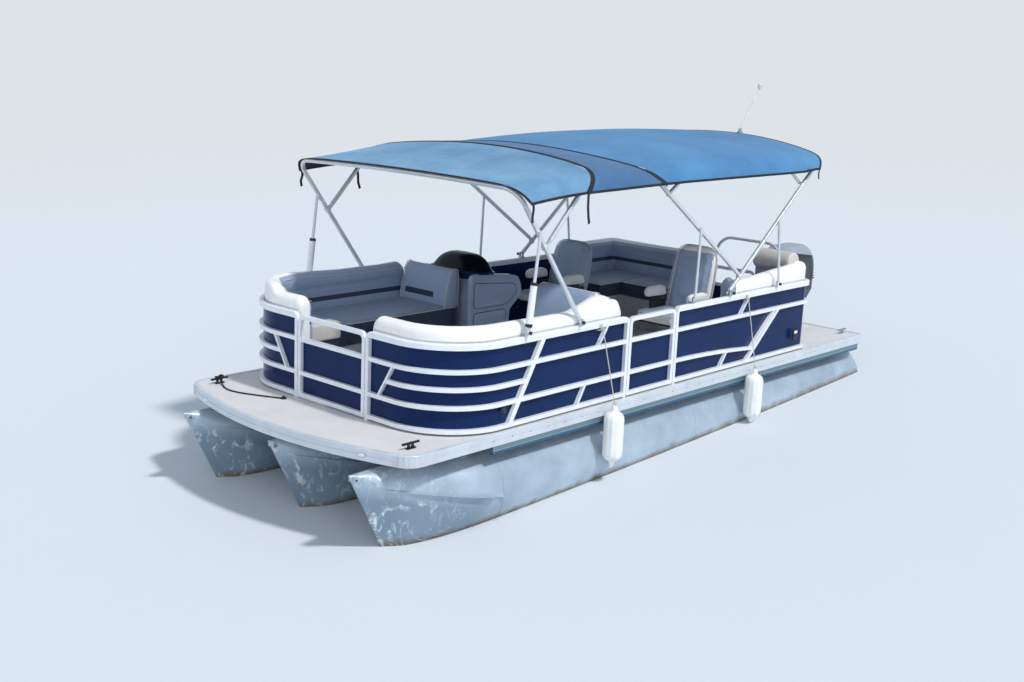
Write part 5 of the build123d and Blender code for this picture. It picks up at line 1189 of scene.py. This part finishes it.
# Fenders
# Hollow vinyl fenders, blow moulded with soft ribs along them and a rope eye at each end, scuffed by docks.
fender_vinyl, tree, place = finish_of("blow_moulded_white_vinyl")
apart = add(tree, "ShaderNodeSeparateXYZ", {0: place})
stretch = add(tree, "ShaderNodeMapping", {0: place, "Scale": (9, 9, 2.4)})
scuff = add(tree, "ShaderNodeTexNoise", {"Vector": stretch, "Scale": 4, "Detail": 8, "Roughness": 0.7})
marks = add(tree, "ShaderNodeMapRange", {0: scuff, 1: 0.56, 2: 0.72})
low_down = add(tree, "ShaderNodeMapRange", {0: apart.outputs[2], 1: 0.14, 2: 0.34, 3: 0.75, 4: 0.28})
grime = add(tree, "ShaderNodeMath", {0: marks, 1: low_down}, operation="MULTIPLY")
tint = add(tree, "ShaderNodeMix", {0: grime, 6: rgb("f3f4f2"), 7: rgb("8f8878")}, data_type="RGBA")
rough = add(tree, "ShaderNodeMapRange", {0: scuff, 3: 0.32, 4: 0.55})
relief = add(tree, "ShaderNodeBump", {"Height": scuff, "Distance": 0.001, "Strength": 0.4})
surface(tree, Base_Color=tint, Roughness=rough, Normal=relief)

fender_y = 1.3773
fender_profile = [(0.004, 0.013), (0.012, 0.021), (0.034, 0.024), (0.046, 0.030), (0.056, 0.050),
                  (0.070, 0.068), (0.090, 0.079), (0.115, 0.082), (0.180, 0.082), (0.250, 0.082),
                  (0.320, 0.082), (0.385, 0.082), (0.410, 0.079), (0.430, 0.068), (0.444, 0.050),
                  (0.454, 0.030), (0.466, 0.024), (0.488, 0.021), (0.496, 0.013)]
for name, x, foot in (("fender_forward", 0.95, 0.085), ("fender_aft", -1.11, 0.06)):
    rows = []
    for rise, radius in fender_profile:
        ribbed_by = 0.0035 if 0.08 < rise < 0.42 else 0
        reaches = [(a, radius - ribbed_by * abs(math.sin(6 * a))) for a in full_turn(72)]
        rows.append([(x + reach * math.cos(a), fender_y + reach * math.sin(a), foot + rise) for a,
                     reach in reaches])
    made = keep(name + "_body", solid(rows, outward=False), fender_vinyl, "hull", angle=70)
    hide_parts(name)
    # Rope eyes: a flattened ring moulded on each end, and the rope's knot on the top one
    tubes(name + "_eyes", [[(x + 0.017 * math.cos(a), fender_y, z + 0.013 * math.sin(a))
                            for a in full_turn(20)] for z in (foot + 0.006, foot + 0.494)], 0.0062,
          fender_vinyl, 10, closed=True)
    knot_line = []
    for a in full_turn(44):
        wide = 1 + 0.3 * math.cos(3 * a)
        knot_line.append((x + 0.011 * math.cos(2 * a) * wide, fender_y + 0.011 * math.sin(2 * a) * wide,
                          foot + 0.513 + 0.007 * math.sin(3 * a)))
    tubes(name + "_knot", [knot_line], 0.0042, white_braid, closed=True)
# Clove hitch of each fender rope round the fence's top rail
for label, x in (("forward", 1.020), ("aft", -1.075)):
    loops = [[(x + shift + 0.003 * math.sin(a),
               1.231 + 0.032 * math.copysign(abs(math.cos(a)) ** 0.6, math.cos(a)),
               1.202 + 0.0245 * math.copysign(abs(math.sin(a)) ** 0.6, math.sin(a))) for a in full_turn(28)]
             for shift in (-0.007, 0.006, 0.018)]
    tubes(f"rail_hitch_{label}", loops, 0.0038, white_braid, closed=True)


# Outboard, bracket and propeller
# Moulded cowl over a cast leg: pale grey on top, gloss navy-black below a bright joint line, with louvred
# air intakes under its after edge. The bracket is painted cast aluminium and the propeller is stainless
# steel.
cowl_paint, tree, place = finish_of("two_tone_cowl_lacquer")
apart = add(tree, "ShaderNodeSeparateXYZ", {0: place})
# The grey cap's edge runs down aft
edge = add(tree, "ShaderNodeMath", {0: apart.outputs[0], 1: -0.14, 2: apart.outputs[2]},
           operation="MULTIPLY_ADD")
cap = add(tree, "ShaderNodeMapRange", {0: edge, 1: 1.748, 2: 1.752})
drying_marks = add(tree, "ShaderNodeTexNoise", {"Vector": place, "Scale": 6, "Detail": 6,
                                                "Roughness": 0.65})
dull = add(tree, "ShaderNodeMix", {0: drying_marks, 6: rgb("12161f"), 7: rgb("262d3a")}, data_type="RGBA")
tint = add(tree, "ShaderNodeMix", {0: cap, 6: dull, 7: rgb("9aa1ac")}, data_type="RGBA")
rough = add(tree, "ShaderNodeMapRange", {0: drying_marks, 3: 0.14, 4: 0.34})
relief = add(tree, "ShaderNodeBump", {"Height": drying_marks, "Distance": 0.0005, "Strength": 0.3})
surface(tree, Base_Color=tint, Roughness=rough, Normal=relief, Coat_Weight=0.3)
coat(cowl_paint, "outboard_motor")

cast_paint = mottled("painted_cast_bracket", "23272e", "3a3f48", (140, 4), 0.42, (None, None, 0.0006, 0.6))
coat(cast_paint, "outboard_swivel", "outboard_clamp")

work = bmesh.new()
for k in range(6):
    for side in (1, -1):
        x, y, z = -4.200 + 0.012 * k, side * 0.150, 0.905 + 0.028 * k
        soft_box(work, (x, y - 0.045, z), (x + 0.080, y + 0.045, z + 0.012), 0.004)
keep("cowl_louvres", work, black_plastic, "outboard_motor")


# Lamps and deck fittings
# Docking lamps in the bow trim with chrome rims, a socket at the stern, a small courtesy lamp on the fence,
# ribbed covers on the trim's bow corners, lifting strakes on the noses, and the cleats: black ones forward,
# bare steel aft.
lamp_lens = ribbed("clear_lamp_lens", "dfe7ee", "f6f9fb", "Y", {"Scale": 60}, 0.001, Roughness=0.08,
                   Coat_Weight=1.0)

# The bow cleats are black pop-up ones and the stern ones are bare steel
cleat_finish, tree, place = finish_of("black_and_bare_cleats")
apart = add(tree, "ShaderNodeSeparateXYZ", {0: place})
fore = add(tree, "ShaderNodeMath", {0: apart.outputs[0], 1: 0.0}, operation="GREATER_THAN")
worn_spots = add(tree, "ShaderNodeTexNoise", {"Vector": place, "Scale": 90, "Detail": 3})
bare = add(tree, "ShaderNodeValToRGB", {0: worn_spots})
bare.color_ramp.elements[0].color, bare.color_ramp.elements[1].color = rgb("a9aeb4"), rgb("cfd3d7")
tint = add(tree, "ShaderNodeMix", {0: fore, 6: bare, 7: rgb("14171d")}, data_type="RGBA")
steel = add(tree, "ShaderNodeMath", {0: 1.0, 1: fore}, operation="SUBTRACT")
surface(tree, Base_Color=tint, Metallic=steel, Roughness=0.3)
coat(cleat_finish, "deck_cleats")


def found(name, origin, towards):
    """Where a ray from origin towards a point meets a CAD node, and the normal there."""
    start = Vector(origin)
    tree = BVHTree.FromObject(nodes[name], bpy.context.evaluated_depsgraph_get())
    place, normal, face, far = tree.ray_cast(start, (Vector(towards) - start).normalized())
    return place, normal


# Docking lamps: an oval chrome rim with a lens, on the bow face of the trim
for side, label, y, z in ((1, "port", 0.919, 0.530), (-1, "starboard", -0.891, 0.530)):
    place, normal = found("deck_edge_trim", (3.6, y, z), (2.6, y, z))
    normal = Vector((normal.x, normal.y, 0)).normalized()
    turn = frame_at(Vector((-normal.y, normal.x, 0)), Vector((0, 0, 1)), normal, place)
    work, lens = bmesh.new(), bmesh.new()
    for part, wide, narrow, depth, flat in ((work, 0.040, 0.036, 0.012, 0.52),
                                            (lens, 0.030, 0.024, 0.018, 0.46)):
        bmesh.ops.create_cone(part, cap_ends=True, segments=36, radius1=wide, radius2=narrow, depth=depth,
                              matrix=turn @ Matrix.Diagonal((1, flat, 1, 1)))
    keep(f"docking_lamp_{label}", work, polished, "hull")
    keep(f"docking_lamp_lens_{label}", lens, lamp_lens, "hull")

# Corner caps: moulded grey covers over the trim's bow corners, with upright ribs
cap_grey = mottled("moulded_corner_cap", "b7bfc8", "d0d6dd", (40, 5), 0.4, (None, None, 0.0006, 0.4))
for side, label in ((1, "port"), (-1, "starboard")):
    rows = []
    middle = Vector((2.86, side * 1.06, 0.530))
    for k in range(81):
        a = math.radians(20 + 82 * k / 80)
        way = Vector((math.cos(a), side * math.sin(a), 0))
        place, normal = found("deck_edge_trim", middle + way * 0.6, middle)
        rib = 0.0025 if k % 8 in (3, 4, 5) and 6 < k < 74 else 0
        rows.append([place + way * out + Vector((0, 0, rise)) for out, rise in
                     ((-0.004, -0.041), (0.0035 + rib, -0.040), (0.0050 + rib, 0.0), (0.0035 + rib, 0.040),
                      (-0.010, 0.0455), (-0.030, 0.0460), (-0.030, 0.030))])
    keep(f"corner_cap_{label}", solid(rows), cap_grey, "hull")

# Lifting strakes: bent aluminium fins, welded along both sides of each nosecone
half_thick = Vector((0, 0, 0.0025))
for name, middle in (("tube_port", 0.978), ("tube_center", 0.0), ("tube_starboard", -0.978)):
    for side, label in ((1, "port"), (-1, "starboard")):
        rows = []
        for k in range(25):
            t = k / 24
            x, z = 3.09 - 0.87 * t, 0.300 - 0.175 * t ** 0.9
            place, normal = found(name, (x, middle + side * 0.6, z), (x, middle, z))
            wide = 0.004 + 0.048 * min(1.0, t * 1.25) * (1 if k < 24 else 0.35)
            edge = place + Vector((0, side * wide, -0.22 * wide))
            root = Vector((0, side * 0.006, 0))
            rows.append((place - root + half_thick, edge + half_thick, edge - half_thick,
                         place - root - half_thick))
        keep(f"{name}_strake_{label}", solid(rows), tube_metal, "hull", angle=30)

# Stern socket with its small lens, and the courtesy lamp
work, lens = bmesh.new(), bmesh.new()
soft_box(work, (-2.022, 1.2455, 0.690), (-1.950, 1.2600, 0.790), 0.004)
soft_box(lens, (-2.010, 1.2580, 0.752), (-1.962, 1.2640, 0.778), 0.002)
keep("stern_socket", work, black_plastic, "hull")
keep("stern_socket_lens", lens, lamp_lens, "hull")
work = bmesh.new()
turn = Matrix.Translation((2.104, 1.2470, 0.722)) @ Matrix.Rotation(math.pi / 2, 4, "X")
for segments, wide, narrow, depth in ((32, 0.020, 0.023, 0.012), (24, 0.008, 0.010, 0.020)):
    bmesh.ops.create_cone(work, cap_ends=True, segments=segments, radius1=wide, radius2=narrow, depth=depth,
                          matrix=turn)
keep("courtesy_lamp", work, cast_paint, "hull")


# Straps of the tops
# Black polyester webbing, 2 mm thick, ties the canvas to its bows: at the joints with the middle piece and
# at both ends of the tops. The loose tails hang from the hems.
webbing = ribbed("black_polyester_webbing", "0b0e15", "202633", "X", {"Scale": 90, "Distortion": 0.5},
                 0.0008, Roughness=0.75)


def strap(name, line, width, body):
    """Flat webbing along a line of points; its width lies fore and aft."""
    rows = []
    across = Vector((1, 0, 0))
    for i, p in enumerate(line):
        run = (Vector(line[min(i + 1, len(line) - 1)]) - Vector(line[max(i - 1, 0)])).normalized()
        wide = (across - run * run.dot(across)).normalized()
        face = run.cross(wide)
        rows.append([Vector(p) + wide * a * width / 2 + face * b * 0.001
                     for a, b in ((-1, -1), (1, -1), (1, 1), (-1, 1))])
    return keep(name, solid(rows), webbing, body, angle=50)


# At the fore joint a loop round the bow and a tail 0.25 m long, and shorter ones at both ends of the tops
straps = {
    "fore_joint": ([(1.336, 1.3085, 2.300), (1.338, 1.3085, 2.275), (1.335, 1.3035, 2.235),
                    (1.325, 1.297, 2.16), (1.318, 1.300, 2.09), (1.300, 1.296, 2.035)], 0.026,
                   "fore_second_bow"),
    "fore_edge": ([(1.945, 1.300, 2.232), (1.936, 1.297, 2.18), (1.950, 1.302, 2.13),
                   (1.944, 1.298, 2.085)], 0.024, "hull"),
    "aft_edge": ([(-2.078, 1.300, 2.325), (-2.070, 1.298, 2.27), (-2.074, 1.302, 2.225)], 0.022, "hull"),
}
for side, label in ((1, "port"), (-1, "starboard")):
    for place_name, (line, width, body) in straps.items():
        strap(f"{place_name}_strap_{label}", [(x, side * y, z) for x, y, z in line], width, body)


# Fittings of the top frame
# Telescoping sleeves on the two fore braces, in white plastic with black end collars, and black nylon knobs
# that pin each leg to its rail mount.
sleeve_white = mottled("white_nylon_sleeve", "e6eaf0", "f3f5f8", (16, 4), (0.3, 0.45))
brace_y = max(v.co.y for v in nodes["top_braces"].data.vertices if v.co.x > 1.8 and v.co.z < 1.5) - 0.018
foot_of_brace, eye_of_brace = Vector((1.893, brace_y, 1.290)), Vector((1.805, brace_y, 2.003))
for side, label in ((1, "port"), (-1, "starboard")):
    low, high = (Vector((p.x, side * p.y, p.z)) for p in (foot_of_brace, eye_of_brace))
    tubes(f"brace_sleeve_{label}", [[low.lerp(high, t) for t in (0.07, 0.075, 0.20, 0.33, 0.46, 0.465)]],
          [0.022, 0.0255, 0.0265, 0.0265, 0.0255, 0.022], sleeve_white, 20)
    collars = bmesh.new()
    for shares, last in (((0.035, 0.04, 0.068, 0.073), 0.022), ((0.462, 0.466, 0.490, 0.494), 0.020)):
        tube_mesh(collars, [low.lerp(high, t) for t in shares], [0.020, 0.0275, 0.0275, last], 20)
    keep(f"brace_collars_{label}", collars, black_plastic, "hull")
knobs = bmesh.new()
for x in (1.893, 1.283, -0.805, -1.580):
    for side in (1, -1):
        place = Vector((x, side * (brace_y + 0.024), 1.276))
        turn = Matrix.Translation(place) @ Matrix.Rotation(math.pi / 2, 4, "X")
        bmesh.ops.create_cone(knobs, cap_ends=True, segments=20, radius1=0.014, radius2=0.014, depth=0.014,
                              matrix=turn)
keep("mount_knobs", knobs, black_plastic, "hull")


# Small fastenings
# Stainless screws hold the deck trim, and aluminium rivets the fence sheets. Each kind is one domed head,
# repeated over the points of a mesh.
def repeated(name, places, outwards, head, finish):
    """A head of the given size set at every place on the hull, with its z axis along outwards."""
    mesh = bpy.data.meshes.new(name)
    mesh.from_pydata([tuple(p) for p in places], [], [])
    normals = mesh.attributes.new("outwards", "FLOAT_VECTOR", "POINT")
    normals.data.foreach_set("vector", [c for n in outwards for c in n])
    made = bpy.data.objects.new(name, mesh)
    bpy.context.scene.collection.objects.link(made)
    tree = bpy.data.node_groups.new(name + "_rows", "GeometryNodeTree")
    tree.interface.new_socket("Geometry", in_out="INPUT", socket_type="NodeSocketGeometry")
    size = tree.interface.new_socket("Size", in_out="INPUT", socket_type="NodeSocketVector")
    tree.interface.new_socket("Geometry", in_out="OUTPUT", socket_type="NodeSocketGeometry")
    source = add(tree, "NodeGroupInput")
    spin = add(tree, "GeometryNodeInputNamedAttribute", {"Name": "outwards"}, data_type="FLOAT_VECTOR")
    aligned = add(tree, "FunctionNodeAlignRotationToVector", {"Vector": spin.outputs[0]}, axis="Z")
    shape = add(tree, "GeometryNodeMeshUVSphere", {"Segments": 12, "Rings": 6, "Radius": 0.5})
    copies = add(tree, "GeometryNodeInstanceOnPoints",
                 {"Points": source.outputs["Geometry"], "Instance": shape.outputs["Mesh"],
                  "Rotation": aligned.outputs[0], "Scale": source.outputs["Size"]})
    real = add(tree, "GeometryNodeRealizeInstances", {"Geometry": copies.outputs[0]})
    painted = add(tree, "GeometryNodeSetMaterial", {"Geometry": real.outputs[0], "Material": finish})
    result = add(tree, "NodeGroupOutput")
    tree.links.new(painted.outputs[0], result.inputs[0])
    rows = made.modifiers.new("rows", "NODES")
    rows.node_group = tree
    rows[size.identifier] = head
    bpy.context.view_layer.update()
    done = bpy.data.meshes.new_from_object(made.evaluated_get(bpy.context.evaluated_depsgraph_get()))
    made.modifiers.clear()
    made.data = done
    done.shade_smooth()
    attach(made, "hull")


screws = [(x, side * 1.2955, 0.530) for side in (1, -1) for x in np.arange(-3.15, 2.45, 0.20)]
repeated("deck_trim_screws", screws, [(0, math.copysign(1, y), 0) for x, y, z in screws],
         (0.012, 0.012, 0.004), polished)
rivets, faces = [], []
for side, start, end in ((1, run_at(x=2.10), run_at(x=0.70)), (1, run_at(x=-0.05), run_at(x=-2.10)),
                         (-1, run_at(x=2.10), run_at(x=-2.10))):
    for run in np.arange(start, end, 0.15):
        rivets += [(*fence_point(run, 0.0365, side), z) for z in (0.745, 1.035)]
        faces += [(0, -side, 0)] * 2
repeated("fence_rivets", rivets, faces, (0.009, 0.009, 0.003), mill)
